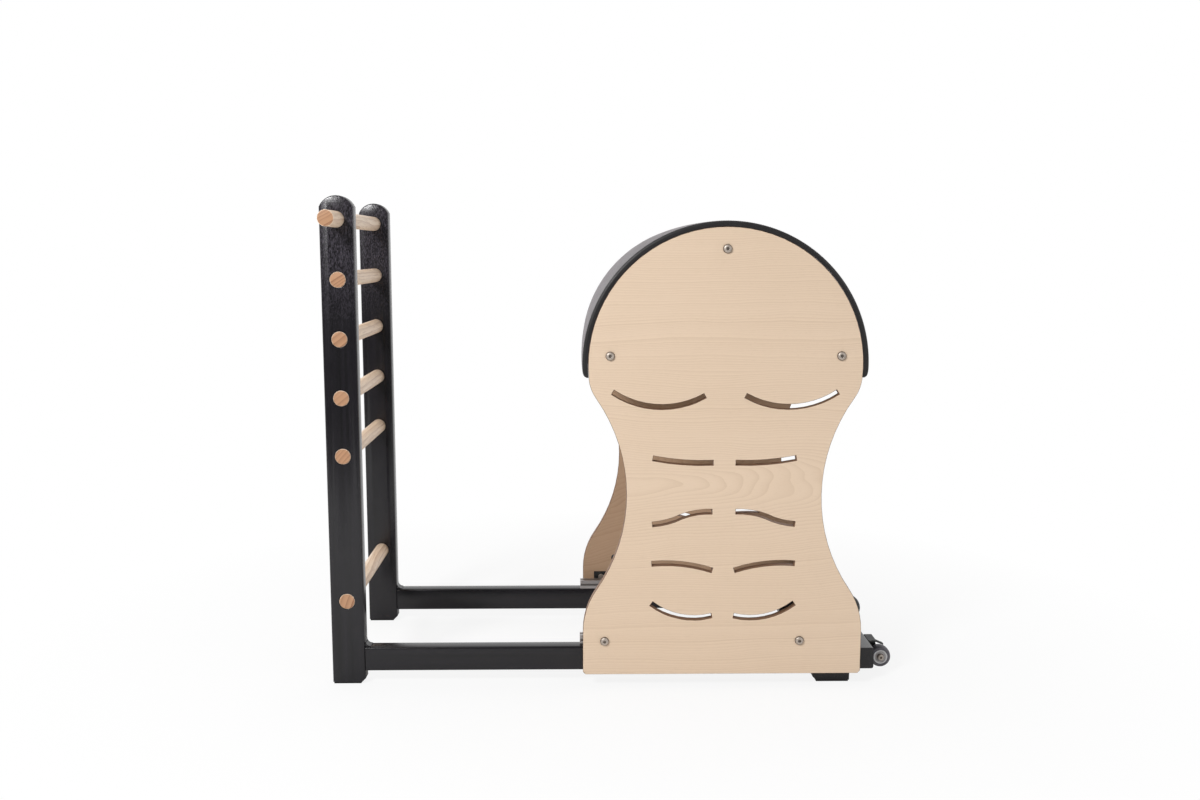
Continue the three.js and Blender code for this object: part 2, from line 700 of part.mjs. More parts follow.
// The outline of one slot, half its width to each side of its bowed centre line.
function slotOutline({ outer, inner, turns, bows }, mirror) {
  const place = ([reachShare, heightShare]) =>
    point(mirror * reachShare * SKIRT_HALF_WIDTH, heightShare * DISC_HEIGHT);
  const start = place(outer);
  const end = place(inner);
  const line = bows.flatMap((bow, i) => {
    const from = start.clone().lerp(end, turns[i]);
    const to = start.clone().lerp(end, turns[i + 1]);
    return bowedLine(from, to, -mirror * bow).slice(i === 0 ? 0 : 1);
  });
  const normals = line.map((p, i) => {
    const before = line[Math.max(i - 1, 0)];
    const after = line[Math.min(i + 1, line.length - 1)];
    const along = after.clone().sub(before).normalize();
    return point(-along.y, along.x);
  });
  const half = SLOT_WIDTH / 2;
  const edge = (sign) => line.map((p, i) => p.clone().addScaledVector(normals[i], sign * half));
  return [...edge(1), ...edge(-1).reverse()];
}

const battenAngles = [
  ["top", Math.PI / 2],
  ["front", Math.PI - SIDE_BATTEN_ANGLE],
  ["rear", SIDE_BATTEN_ANGLE],
];
const battenBolts = battenAngles.map(([, angle]) =>
  point(BATTEN_BOLT_RADIUS * Math.cos(angle), DISC_HEIGHT + BATTEN_BOLT_RADIUS * Math.sin(angle)),
);
const bracketBolts = bracketPlaces.map(([, x]) => point(x, bracketBoltZ));

const carriage = new THREE.Group();
carriage.position.x = barrelX;
apparatus.add(carriage);

function addPanels() {
  const boltHoles = [...battenBolts, ...bracketBolts].map((p) =>
    circle(p.x, p.y, boltHoleRadius, FASTENER_SEGMENTS),
  );
  const slots = SLOT_SHARES.flatMap((shares) => [slotOutline(shares, -1), slotOutline(shares, 1)]);
  for (const [sideName, side] of SIDES) {
    const y = side * (panelOuterY - PANEL_THICKNESS / 2);
    const panel = boardInXZ(panelOutline(), PANEL_THICKNESS, y, 0, [...slots, ...boltHoles]);
    add(carriage, `side_panel_${sideName}`, panel, mapleFace);
  }
}

// Shell, battens and pad

function addShell() {
  const outer = arc(0, DISC_HEIGHT, DISC_RADIUS, -dropAngle, Math.PI + dropAngle);
  const inner = arc(0, DISC_HEIGHT, shellInner, Math.PI + dropAngle, -dropAngle);
  add(carriage, "barrel_shell", boardInXZ([...outer, ...inner], 2 * insideY, 0), rawWood);
}

// A batten is drawn with its curved face towards +X and turned to its place round the barrel.
function addBattens() {
  const seat = shellInner - SEAT_GAP;
  const half = Math.asin(BATTEN_WIDTH / 2 / seat);
  const low = seat - BATTEN_DEPTH;
  const outline = [
    point(low, BATTEN_WIDTH / 2),
    point(low, -BATTEN_WIDTH / 2),
    ...arc(0, 0, seat, -half, half),
  ];
  const holeStart = insideY + CUT_OVERRUN;
  const holeEnd = insideY - BATTEN_BOLT_REACH - CUT_OVERRUN;
  for (const [name, angle] of battenAngles) {
    const holes = SIDES.map(([, side]) =>
      rodAlongY(boltHoleRadius, side * holeStart, side * holeEnd, BATTEN_BOLT_RADIUS, 0),
    );
    const batten = cut(boardInXZ(outline, 2 * insideY, 0), holes);
    batten.rotateY(-angle).translate(0, 0, DISC_HEIGHT);
    add(carriage, `batten_${name}`, batten, rawWood);
  }
}

// Sweeps a section, given as points of y and height above the base radius, along the barrel's arc.
// Each ring has its angle and the share of the section's height that it keeps.
function sweptArch(section, baseRadius, rings) {
  const positions = [];
  for (const { angle, heightShare } of rings) {
    for (const p of section) {
      const radius = baseRadius + p.y * heightShare;
      positions.push(radius * Math.cos(angle), p.x, DISC_HEIGHT + radius * Math.sin(angle));
    }
  }
  const count = section.length;
  const index = [];
  for (let ring = 0; ring + 1 < rings.length; ring++) {
    for (let i = 0; i < count; i++) {
      const a = ring * count + i;
      const b = ring * count + ((i + 1) % count);
      index.push(a, b, a + count, b, b + count, a + count);
    }
  }
  const last = (rings.length - 1) * count;
  for (const [a, b, c] of THREE.ShapeUtils.triangulateShape(section, [])) {
    index.push(c, b, a, last + a, last + b, last + c);
  }
  const geometry = new THREE.BufferGeometry();
  geometry.setAttribute("position", new THREE.Float32BufferAttribute(positions, 3));
  geometry.setIndex(index);
  return geometry;
}

// Even rings along the arch, with a few close ones that round over the outer edge at each end.
function archRings(drop, thickness, round) {
  const roundAngle = round / padInner;
  const rise = Array.from({ length: PAD_EDGE_STEPS }, (_, i) => {
    const turn = ((Math.PI / 2) * i) / PAD_EDGE_STEPS;
    const fallen = round * (1 - Math.sin(turn));
    return { angle: roundAngle * (1 - Math.cos(turn)) - drop, heightShare: 1 - fallen / thickness };
  });
  const fall = rise.map((ring) => ({ ...ring, angle: Math.PI - ring.angle })).reverse();
  const from = roundAngle - drop;
  const to = Math.PI - from;
  const steps = arc(0, 0, padInner, from, to).length - 1;
  const even = Array.from({ length: steps + 1 }, (_, i) => ({
    angle: from + ((to - from) * i) / steps,
    heightShare: 1,
  }));
  return [...rise, ...even, ...fall];
}

// The pad's section from edge to edge: straight sides, rounded corners and a slight crown.
function padSection(halfWidth, low, high, corner) {
  const round = halfWidth - corner[corner.length - 1].x;
  const crown = Array.from({ length: CROWN_STEPS - 1 }, (_, i) => {
    const across = 1 - (2 * (i + 1)) / CROWN_STEPS;
    return point(across * (halfWidth - round), high + PAD_CROWN * (1 - across * across));
  });
  const left = corner.map((p) => point(-p.x, p.y)).reverse();
  return [point(halfWidth, low), ...corner, ...crown, ...left, point(-halfWidth, low)];
}

// The cover is a skin over the top, sides and ends of the foam, open towards the barrel.
function addPad() {
  const angleOf = (length) => length / padInner;
  const quarter = Math.PI / 2;
  const round = PAD_EDGE_ROUND;
  const rounded = arc(panelOuterY - round, PAD_THICKNESS - round, round, 0, quarter);
  const outer = sweptArch(
    padSection(panelOuterY, 0, PAD_THICKNESS, rounded),
    padInner,
    archRings(dropAngle, PAD_THICKNESS, round),
  );
  const inside = (gap, low) => {
    const half = panelOuterY - COVER_THICKNESS - gap;
    const top = PAD_THICKNESS - COVER_THICKNESS - gap;
    const bevel = round - COVER_THICKNESS;
    const drop = dropAngle - angleOf(COVER_THICKNESS + gap);
    const bevelled = [point(half, top - bevel), point(half - bevel, top)];
    return sweptArch(padSection(half, low, top, bevelled), padInner, archRings(drop, top, bevel));
  };
  add(carriage, "pad_cover", cut(outer, [inside(0, -CUT_OVERRUN)]), blackVinyl);
  add(carriage, "pad_foam", inside(SEAT_GAP, 0), paleFoam);
}

// Runners and brackets

// One quarter of the runner's section is half a slot to each side. It is turned four times.
function runnerSection() {
  const half = RUNNER_SIZE / 2;
  const opening = RUNNER_SLOT_OPENING / 2;
  const channel = RUNNER_SLOT_CHANNEL / 2;
  const floor = half - RUNNER_SLOT_DEPTH;
  const quarter = [
    point(half, -half),
    point(half, -opening),
    point(half - RUNNER_LIP, -opening),
    point(half - RUNNER_LIP, -channel),
    point(floor, -opening),
    point(floor, opening),
    point(half - RUNNER_LIP, channel),
    point(half - RUNNER_LIP, opening),
    point(half, opening),
  ];
  const turns = [0, 1, 2, 3];
  return turns.flatMap((turn) =>
    quarter.map((p) => p.clone().rotateAround(point(0, 0), (turn * Math.PI) / 2)),
  );
}

function addRunner(sideName, side) {
  const frontX = -(SKIRT_HALF_WIDTH + RUNNER_FRONT_OVERHANG);
  const rearX = stopFront - SEAT_GAP - barrelX;
  const centre = point(side * runnerY, runnerBottom + RUNNER_SIZE / 2);
  const bar = barAlongX(
    runnerSection().map((p) => p.add(centre)),
    frontX,
    rearX,
  );
  const low = runnerBottom - CUT_OVERRUN;
  const high = runnerTop + CUT_OVERRUN;
  const shoeRadius = SHOE_DIAMETER / 2 + RUNNING_GAP;
  const bores = [
    rodAlongZ(shoeRadius, low, recessTop, lockX, side * runnerY, TURNED_SEGMENTS),
    rodAlongZ(studHoleRadius, low, high, lockX, side * runnerY, TURNED_SEGMENTS),
    rodAlongZ(bushHoleRadius, bushLow - SEAT_GAP, high, lockX, side * runnerY, TURNED_SEGMENTS),
  ];
  add(carriage, `runner_${sideName}`, cut(bar, bores), aluminium);
}

// A bracket's section: a plate on the panel and a tongue that reaches into the runner's outer slot.
function bracketSection(side) {
  const backY = side * insideY;
  const faceY = side * (insideY - BRACKET_PLATE);
  const tipY = side * (runnerOuterY - RUNNER_SLOT_DEPTH + SEAT_GAP);
  const middle = runnerBottom + RUNNER_SIZE / 2;
  const low = middle - TONGUE_THICKNESS / 2;
  return [
    point(backY, low),
    point(backY, low + BRACKET_HEIGHT),
    point(faceY, low + BRACKET_HEIGHT),
    point(faceY, middle + TONGUE_THICKNESS / 2),
    point(tipY, middle + TONGUE_THICKNESS / 2),
    point(tipY, low),
  ];
}

function addBrackets(sideName, side) {
  const inside = side * (insideY - BRACKET_PLATE - CUT_OVERRUN);
  const outside = side * (insideY + CUT_OVERRUN);
  for (const [placeName, x] of bracketPlaces) {
    const bar = barAlongX(bracketSection(side), x - BRACKET_LENGTH / 2, x + BRACKET_LENGTH / 2);
    const bracket = cut(bar, [rodAlongY(boltHoleRadius, inside, outside, x, bracketBoltZ)]);
    add(carriage, `bracket_${placeName}_${sideName}`, bracket, blackNylon);
  }
}

function addPanelBolts(sideName, side) {
  const headY = panelOuterY + SEAT_GAP;
  const battenReach = headY - insideY + BATTEN_BOLT_REACH;
  const bracketReach = headY - insideY + BRACKET_PLATE + BOLT_TAIL;
  const place = (name, reach, p) => {
    const bolt = facingOut(domedBolt(reach, BOLT_HEAD_DIAMETER), side);
    add(carriage, `${name}_${sideName}`, bolt.translate(p.x, side * headY, p.y), zincSteel);
  };
  battenAngles.forEach(([name], i) => place(`batten_bolt_${name}`, battenReach, battenBolts[i]));
  bracketPlaces.forEach(([name], i) => place(`bracket_bolt_${name}`, bracketReach, bracketBolts[i]));
}

// Locks
const studHoleRadius = STUD_DIAMETER / 2 + RUNNING_GAP;
const bushHoleRadius = BUSH_DIAMETER / 2 + SEAT_GAP;
const recessTop = runnerBottom + SHOE_THICKNESS + LOCK_LIFT + SEAT_GAP;
const bushBase = runnerTop + SEAT_GAP;
const bushLow = bushBase - BUSH_SPIGOT;
const knobZ = runnerTop + KNOB_HEIGHT;
const knobLow = knobZ - KNOB_DIAMETER / 2;

// The shoe rests on the rail and holds the end of the stud in a shallow socket.
function shoeProfile() {
  const top = runnerBottom + SHOE_THICKNESS;
  const socketFloor = top - SHOE_SOCKET_DEPTH;
  return [
    point(0, runnerBottom),
    point(SHOE_DIAMETER / 2, runnerBottom),
    point(SHOE_DIAMETER / 2, top),
    point(studHoleRadius, top),
    point(studHoleRadius, socketFloor),
    point(0, socketFloor),
  ];
}

function studProfile() {
  const low = runnerBottom + SHOE_THICKNESS - SHOE_SOCKET_DEPTH + SEAT_GAP;
  return [
    point(0, low),
    point(STUD_DIAMETER / 2, low),
    point(STUD_DIAMETER / 2, knobLow + KNOB_STUD_DEPTH),
    point(0, knobLow + KNOB_STUD_DEPTH),
  ];
}

function bushProfile() {
  return [
    point(studHoleRadius, bushLow),
    point(BUSH_DIAMETER / 2, bushLow),
    point(BUSH_DIAMETER / 2, bushBase),
    point(BUSH_FLANGE_DIAMETER / 2, bushBase),
    point(BUSH_FLANGE_DIAMETER / 2, bushBase + BUSH_FLANGE_HEIGHT),
    point(studHoleRadius, bushBase + BUSH_FLANGE_HEIGHT),
  ];
}

// A ball knob with a blind hole for the stud.
function knobProfile() {
  const radius = KNOB_DIAMETER / 2;
  const hole = STUD_DIAMETER / 2 + SEAT_GAP;
  const holeTop = knobLow + KNOB_STUD_DEPTH + SEAT_GAP;
  const start = Math.acos(hole / radius);
  const ball = Array.from({ length: KNOB_STEPS }, (_, i) => {
    const angle = -start + ((start + Math.PI / 2) * i) / KNOB_STEPS;
    return point(radius * Math.cos(angle), knobZ + radius * Math.sin(angle));
  });
  return [point(0, holeTop), point(hole, holeTop), ...ball, point(0, knobZ + radius)];
}

function addLock(sideName, side) {
  const place = (geometry) => geometry.rotateX(Math.PI / 2).translate(lockX, side * runnerY, 0);
  add(carriage, `lock_shoe_${sideName}`, place(turned(shoeProfile())), blackRubber);
  add(carriage, `lock_stud_${sideName}`, place(turned(studProfile(), FASTENER_SEGMENTS)), zincSteel);
  add(carriage, `lock_bush_${sideName}`, place(closedRing(bushProfile())), zincSteel);
  add(carriage, `lock_knob_${sideName}`, place(turned(knobProfile())), blackNylon);
}

for (const [sideName, side] of SIDES) {
  addUpright(sideName, side);
  addRail(sideName, side);
  addRearFoot(sideName, side);
  addRearStop(sideName, side);
  addWheel(sideName, side);
  addRunner(sideName, side);
  addBrackets(sideName, side);
  addPanelBolts(sideName, side);
  addLock(sideName, side);
}
rungHeights.forEach(addRung);
addCrossbar();
addPanels();
addShell();
addBattens();
addPad();

apparatus.position.x = -overallLength / 2;

export default apparatus;
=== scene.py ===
# %% [markdown]
# # Dressing a pilates ladder barrel
# The frame comes from the CAD: every board, bolt and wheel is already in its place, in metres.
# This file gives each of them its real surface, and replaces the plain round and soft ones by
# finer pieces. We start by loading the frame.

import json
import math

import bmesh
import bpy
import numpy as np
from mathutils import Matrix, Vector
from mathutils.bvhtree import BVHTree

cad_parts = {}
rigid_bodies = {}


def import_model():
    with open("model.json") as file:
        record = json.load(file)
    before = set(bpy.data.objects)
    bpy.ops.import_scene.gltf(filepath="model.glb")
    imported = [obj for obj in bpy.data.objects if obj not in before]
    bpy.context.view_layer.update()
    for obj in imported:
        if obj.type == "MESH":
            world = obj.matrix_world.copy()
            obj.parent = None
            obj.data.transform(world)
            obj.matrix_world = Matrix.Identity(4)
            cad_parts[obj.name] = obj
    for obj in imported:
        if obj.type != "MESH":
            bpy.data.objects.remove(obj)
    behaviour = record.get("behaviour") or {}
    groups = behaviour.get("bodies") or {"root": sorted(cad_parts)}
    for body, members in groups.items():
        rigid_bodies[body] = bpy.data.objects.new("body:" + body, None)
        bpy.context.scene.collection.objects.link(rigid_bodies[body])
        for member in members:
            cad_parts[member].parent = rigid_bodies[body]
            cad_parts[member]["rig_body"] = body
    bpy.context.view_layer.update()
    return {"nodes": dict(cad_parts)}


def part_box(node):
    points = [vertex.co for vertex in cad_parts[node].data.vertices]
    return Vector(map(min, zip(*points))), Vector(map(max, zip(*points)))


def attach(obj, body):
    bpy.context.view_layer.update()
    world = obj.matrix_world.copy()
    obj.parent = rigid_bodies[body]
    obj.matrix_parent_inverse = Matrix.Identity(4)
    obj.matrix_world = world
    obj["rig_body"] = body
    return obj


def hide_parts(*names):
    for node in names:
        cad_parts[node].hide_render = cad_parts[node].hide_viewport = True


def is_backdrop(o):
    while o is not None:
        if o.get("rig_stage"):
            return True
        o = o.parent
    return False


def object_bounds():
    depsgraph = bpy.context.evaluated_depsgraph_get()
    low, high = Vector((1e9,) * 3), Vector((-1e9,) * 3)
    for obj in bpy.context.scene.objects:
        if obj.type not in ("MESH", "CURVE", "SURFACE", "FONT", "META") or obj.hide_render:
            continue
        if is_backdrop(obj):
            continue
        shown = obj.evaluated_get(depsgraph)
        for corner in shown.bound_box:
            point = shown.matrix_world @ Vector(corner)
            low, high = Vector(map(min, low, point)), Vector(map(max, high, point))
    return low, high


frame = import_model()

# %% [markdown]
# ## Camera
# The photograph was taken with a normal lens from just below the top of the barrel, looking
# slightly down. A camera could be moved by eye until the picture matches. Here its place, angles
# and lens were fitted to the edges of the uprights, rungs and rails, which is far more exact.
# The small helper puts a new object into the scene, and everything below uses it.


# %% Camera
CAMERA_PLACE = (-0.0658, -2.5104, 0.8925)
CAMERA_PITCH = math.radians(7.4426)
CAMERA_YAW = math.radians(0.8223)
FOCAL_LENGTH = 34.397


def link_piece(name, data):
    """A new object of the scene, made of a mesh, a lamp or a lens."""
    piece = bpy.data.objects.new(name, data)
    bpy.context.scene.collection.objects.link(piece)
    return piece


lens = bpy.data.cameras.new("studio_camera")
lens.sensor_width = 36
lens.lens = FOCAL_LENGTH
lens.clip_start, lens.clip_end = 0.05, 100
camera = link_piece("studio_camera", lens)
camera.location = CAMERA_PLACE
camera.rotation_euler = (math.pi / 2 - CAMERA_PITCH, 0, -CAMERA_YAW)
bpy.context.scene.camera = camera
bpy.context.scene.view_settings.view_transform = "Standard"
print("camera lens", lens.lens, "mm at", CAMERA_PLACE)

# %% [markdown]
# ## Small helpers for node trees
# Every finish below is a tree of nodes. One helper makes a node, sets its choices and fills or
# links its inputs, so that a finish reads from top to bottom like a recipe. Shorter ones stand
# for what finishes repeat: one axis of a place, a noise, a ramp or a blend. Colours are written
# as the three numbers that a picture editor shows, and turned into light values here.


# %% Node helpers
def paint(red, green, blue):
    channels = []
    for value in (red, green, blue):
        share = value / 255
        channels.append(share / 12.92 if share <= 0.04045 else ((share + 0.055) / 1.055) ** 2.4)
    return (*channels, 1)


def fill_socket(tree, socket, value):
    """Links another node's output, or writes a plain value."""
    if isinstance(value, bpy.types.NodeSocket):
        tree.links.new(value, socket)
    else:
        socket.default_value = value


def add_node(tree, kind, inputs=None, **choices):
    made = tree.nodes.new(kind)
    for name, value in choices.items():
        setattr(made, name, value)
    for name, value in (inputs or {}).items():
        fill_socket(tree, made.inputs[name], value)
    return made


def calc(tree, operation, first, second=0.0, clamp=False):
    made = add_node(tree, "ShaderNodeMath", {0: first, 1: second}, operation=operation)
    made.use_clamp = clamp
    return made.outputs[0]


def part_of(tree, vector, axis):
    """One of a vector's three numbers: "X", "Y" or "Z"."""
    return add_node(tree, "ShaderNodeSeparateXYZ", {0: vector}).outputs[axis]


def stretched(tree, place, scale):
    return add_node(tree, "ShaderNodeMapping", {"Vector": place, "Scale": scale}).outputs[0]


def noise(tree, place, scale, detail, roughness=0.5):
    inputs = {"Vector": place, "Scale": scale, "Detail": detail, "Roughness": roughness}
    return add_node(tree, "ShaderNodeTexNoise", inputs).outputs


def noise_along(tree, value, scale, detail):
    """A noise that changes along one number only, such as the distance from an axis."""
    inputs = {"W": value, "Scale": scale, "Detail": detail}
    return add_node(tree, "ShaderNodeTexNoise", inputs, noise_dimensions="1D").outputs["Fac"]


def attribute(tree, name):
    return add_node(tree, "ShaderNodeAttribute", attribute_name=name).outputs["Fac"]


def ramp(tree, value, low, high, start=0.0, end=1.0):
    inputs = {"Value": value, "From Min": low, "From Max": high, "To Min": start, "To Max": end}
    return add_node(tree, "ShaderNodeMapRange", inputs).outputs[0]


def blend_colour(tree, share, first, second, mode="MIX"):
    made = add_node(tree, "ShaderNodeMix", {0: share, 6: first, 7: second}, data_type="RGBA")
    made.blend_type = mode
    return made.outputs[2]


def add_number_inputs(tree, values):
    for label, value in values.items():
        socket = tree.interface.new_socket(label, in_out="INPUT", socket_type="NodeSocketFloat")
        socket.default_value = value


def with_ends(tree):
    """The tree, what comes into it, and what has to be linked to leave it."""
    entry = tree.nodes.new("NodeGroupInput").outputs
    return tree, entry, tree.nodes.new("NodeGroupOutput").inputs


def new_group(name, values, results):
    """A group that takes a place and some numbers, and gives numbers."""
    tree = bpy.data.node_groups.new(name, "ShaderNodeTree")
    tree.interface.new_socket("Vector", in_out="INPUT", socket_type="NodeSocketVector")
    add_number_inputs(tree, values)
    for label in results:
        tree.interface.new_socket(label, in_out="OUTPUT", socket_type="NodeSocketFloat")
    return with_ends(tree)


def use_group(tree, group, inputs):
    made = tree.nodes.new("ShaderNodeGroup")
    made.node_tree = group
    for name, value in inputs.items():
        fill_socket(tree, made.inputs[name], value)
    return made.outputs


def new_finish(name, **uniform):
    """A material with one Principled shader, whose uniform values go on its own sockets."""
    finish = bpy.data.materials.new(name)
    finish.use_nodes = True
    shader = finish.node_tree.nodes["Principled BSDF"]
    for label, value in uniform.items():
        shader.inputs[label.replace("_", " ")].default_value = value
    return finish, finish.node_tree, shader.inputs


def object_place(tree, location=(0, 0, 0), rotation=(0, 0, 0), scale=(1, 1, 1)):
    """Object coordinates, moved so that a pattern starts where the piece needs it."""
    place = add_node(tree, "ShaderNodeTexCoord").outputs["Object"]
    turned = tuple(math.radians(angle) for angle in rotation)
    inputs = {"Vector": place, "Location": location, "Rotation": turned, "Scale": scale}
    return add_node(tree, "ShaderNodeMapping", inputs).outputs[0]


def raised(tree, height, depth):
    inputs = {"Height": height, "Distance": depth, "Strength": 1.0}
    return add_node(tree, "ShaderNodeBump", inputs).outputs[0]


print("helpers ready")

# %% [markdown]
# ## Studio
# The photograph shows the apparatus on white, lit from the upper left, with a bright backdrop
# behind it and a darker room behind the camera. The white could come from strong lamps, but they
# would bleach every colour. So it comes from what the camera sees in the world and on the floor.
# Mirrored rays see that white only behind the object: metal shows the backdrop, and the black
# boards that face us mirror the dark room. The floor is a pale disc that still receives the
# object's soft shadow.


# %% World, floor and lamps
DARK_ROOM, BRIGHT_BACKDROP = 0.2, 0.96


def shows_background(tree, behind):
    """How much of the white background a ray sees: mirrors only see the part behind the object."""
    rays = add_node(tree, "ShaderNodeLightPath").outputs
    straight = calc(tree, "MAXIMUM", rays["Is Camera Ray"], rays["Is Transmission Ray"])
    mirrored = calc(tree, "MULTIPLY", rays["Is Glossy Ray"], behind)
    return calc(tree, "MAXIMUM", straight, mirrored)


def build_world():
    world = bpy.data.worlds.new("white_studio")
    world.use_nodes = True
    tree = world.node_tree
    tree.nodes.clear()
    way = add_node(tree, "ShaderNodeTexCoord").outputs["Generated"]
    depth = part_of(tree, way, "Y")
    room = ramp(tree, depth, -0.5, 0.6, DARK_ROOM, BRIGHT_BACKDROP)
    lit = add_node(tree, "ShaderNodeBackground", {"Color": (1, 1, 1, 1), "Strength": room})
    seen = add_node(tree, "ShaderNodeBackground", {"Color": (1, 1, 1, 1), "Strength": 1.0})
    share = shows_background(tree, ramp(tree, depth, 0.0, 0.4))
    both = {0: share, 1: lit.outputs[0], 2: seen.outputs[0]}
    mixed = add_node(tree, "ShaderNodeMixShader", both).outputs[0]
    add_node(tree, "ShaderNodeOutputWorld", {"Surface": mixed})
    bpy.context.scene.world = world


FLOOR_RADIUS = 2.3
SHADOW_REACH = (0.6, 1.4)  # from here on the shadow fades, and there it is gone


def build_floor():
    mesh = bpy.data.meshes.new("studio_floor")
    shape = bmesh.new()
    bmesh.ops.create_circle(shape, cap_ends=True, radius=FLOOR_RADIUS, segments=96)
    shape.to_mesh(mesh)
    shape.free()
    floor = link_piece("studio_floor", mesh)
    finish, tree, _ = new_finish(
        "studio_paper", Base_Color=paint(238, 238, 238), Roughness=0.9, Specular_IOR_Level=0.1
    )
    place = object_place(tree)
    reach = add_node(tree, "ShaderNodeVectorMath", {0: place}, operation="LENGTH")
    far = ramp(tree, reach.outputs["Value"], *SHADOW_REACH, 0.86, 1.0)
    seen = shows_background(tree, ramp(tree, part_of(tree, place, "Y"), 0.2, 0.6))
    white = add_node(tree, "ShaderNodeEmission", {"Color": (1, 1, 1, 1), "Strength": 1.0})
    plain = tree.nodes["Principled BSDF"].outputs[0]
    both = {0: calc(tree, "MULTIPLY", far, seen), 1: plain, 2: white.outputs[0]}
    mixed = add_node(tree, "ShaderNodeMixShader", both).outputs[0]
    tree.links.new(mixed, tree.nodes["Material Output"].inputs["Surface"])
    mesh.materials.append(finish)
    floor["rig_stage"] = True


def add_lamp(name, place, target, size, power):
    light = bpy.data.lights.new(name, "AREA")
    light.shape = "RECTANGLE"
    light.size, light.size_y = size
    light.energy = power
    lamp = link_piece(name, light)
    lamp.location = place
    lamp.rotation_euler = (Vector(target) - Vector(place)).to_track_quat("-Z", "Y").to_euler()


build_world()
build_floor()
add_lamp("key_softbox", (-1.9, -2.7, 2.6), (0.1, 0, 0.45), (0.8, 0.6), 103)
add_lamp("fill_softbox", (2.4, -2.4, 1.5), (0.1, 0, 0.4), (1.6, 1.6), 16)
print("studio ready")

# %% [markdown]
# ## Effects that several finishes share
# Bare wood appears three times: maple veneer, beech dowels and raw plywood. All of them show
# growth rings that a saw has cut. Straight stripes would be simpler, but they never close to an
# arch. So one group draws the rings as cylinders round a slowly wandering axis. Where a board
# lies nearly along that axis the cylinders show as long nested arches, as on the real panels.


# %% Group of growth rings
def build_ring_group():
    values = {"Spacing": 0.005, "Wander": 0.02, "Slow Scale": 2.0}
    tree, entry, result = new_group("growth_rings", values, ("Rings", "Cloud", "Fibre"))
    slow_place = stretched(tree, entry["Vector"], (0.35, 1, 1))
    slow = noise(tree, slow_place, entry["Slow Scale"], 3.0, 0.45)
    halves = {0: slow["Color"], 1: (0.5, 0.5, 0.5)}
    centred = add_node(tree, "ShaderNodeVectorMath", halves, operation="SUBTRACT").outputs[0]
    wander = {0: centred, "Scale": entry["Wander"]}
    shift = add_node(tree, "ShaderNodeVectorMath", wander, operation="SCALE").outputs[0]
    moved = add_node(tree, "ShaderNodeVectorMath", {0: entry["Vector"], 1: shift}).outputs[0]
    parts = add_node(tree, "ShaderNodeSeparateXYZ", {0: moved}).outputs
    flat = add_node(tree, "ShaderNodeCombineXYZ", {"Y": parts["Y"], "Z": parts["Z"]}).outputs[0]
    radius = add_node(tree, "ShaderNodeVectorMath", {0: flat}, operation="LENGTH").outputs["Value"]
    years = calc(tree, "DIVIDE", radius, entry["Spacing"])
    uneven = noise_along(tree, years, 0.21, 1.0)
    phase = calc(tree, "ADD", years, calc(tree, "MULTIPLY", uneven, 2.6))
    ring = calc(tree, "POWER", calc(tree, "FRACT", phase), 2.6)
    weight = calc(tree, "MULTIPLY_ADD", uneven, 1.2)
    weight.node.inputs[2].default_value = 0.15
    tree.links.new(calc(tree, "MULTIPLY", ring, weight), result["Rings"])
    tree.links.new(slow["Fac"], result["Cloud"])
    fibre = noise(tree, stretched(tree, moved, (18, 900, 900)), 1.0, 2.0)
    tree.links.new(fibre["Fac"], result["Fibre"])
    return tree


growth_rings = build_ring_group()
print("group", growth_rings.name)

# %% [markdown]
# No real surface has the same gloss all over, so one group lets the roughness wander round its
# middle value. A second one makes a grain of small pebbles for vinyl and moulded plastic. The
# third gives the short flecks and long streaks of open pores, which paint doesn't quite fill.


# %% Groups of uneven gloss, pebbles and pores
def build_gloss_group():
    values = {"Roughness": 0.4, "Spread": 0.1, "Scale": 40.0}
    tree, entry, result = new_group("uneven_gloss", values, ("Roughness", "Height"))
    cloud = noise(tree, entry["Vector"], entry["Scale"], 5.0)["Fac"]
    swing = calc(tree, "MULTIPLY", calc(tree, "SUBTRACT", cloud, 0.5), entry["Spread"])
    tree.links.new(calc(tree, "ADD", entry["Roughness"], swing, True), result["Roughness"])
    tree.links.new(cloud, result["Height"])
    return tree


def build_pebble_group():
    tree, entry, result = new_group("pebble_grain", {"Cells": 900.0}, ("Height",))
    cells = {"Vector": entry["Vector"], "Scale": entry["Cells"], "Smoothness": 0.6}
    made = add_node(tree, "ShaderNodeTexVoronoi", cells, feature="SMOOTH_F1")
    soft = calc(tree, "SUBTRACT", 1.0, made.outputs["Distance"])
    tree.links.new(soft, result["Height"])
    return tree


def build_pore_group():
    tree, entry, result = new_group("open_pores", {"Density": 0.5}, ("Flecks", "Streaks"))
    speck = noise(tree, stretched(tree, entry["Vector"], (190, 560, 560)), 1.0, 3.0, 0.62)
    start = calc(tree, "SUBTRACT", 1.02, calc(tree, "MULTIPLY", entry["Density"], 0.9))
    tree.links.new(ramp(tree, speck["Fac"], start, 0.8), result["Flecks"])
    line = noise(tree, stretched(tree, entry["Vector"], (2.2, 170, 170)), 1.0, 4.0, 0.6)
    tree.links.new(line["Fac"], result["Streaks"])
    return tree


uneven_gloss = build_gloss_group()
pebble_grain = build_pebble_group()
open_pores = build_pore_group()


def break_gloss(tree, shader, place, roughness, spread, scale):
    """Lets the roughness wander round its middle value, and hands back the group's outputs."""
    values = {"Vector": place, "Roughness": roughness, "Spread": spread, "Scale": scale}
    made = use_group(tree, uneven_gloss, values)
    tree.links.new(made["Roughness"], shader["Roughness"])
    return made


print("groups", uneven_gloss.name, pebble_grain.name, open_pores.name)
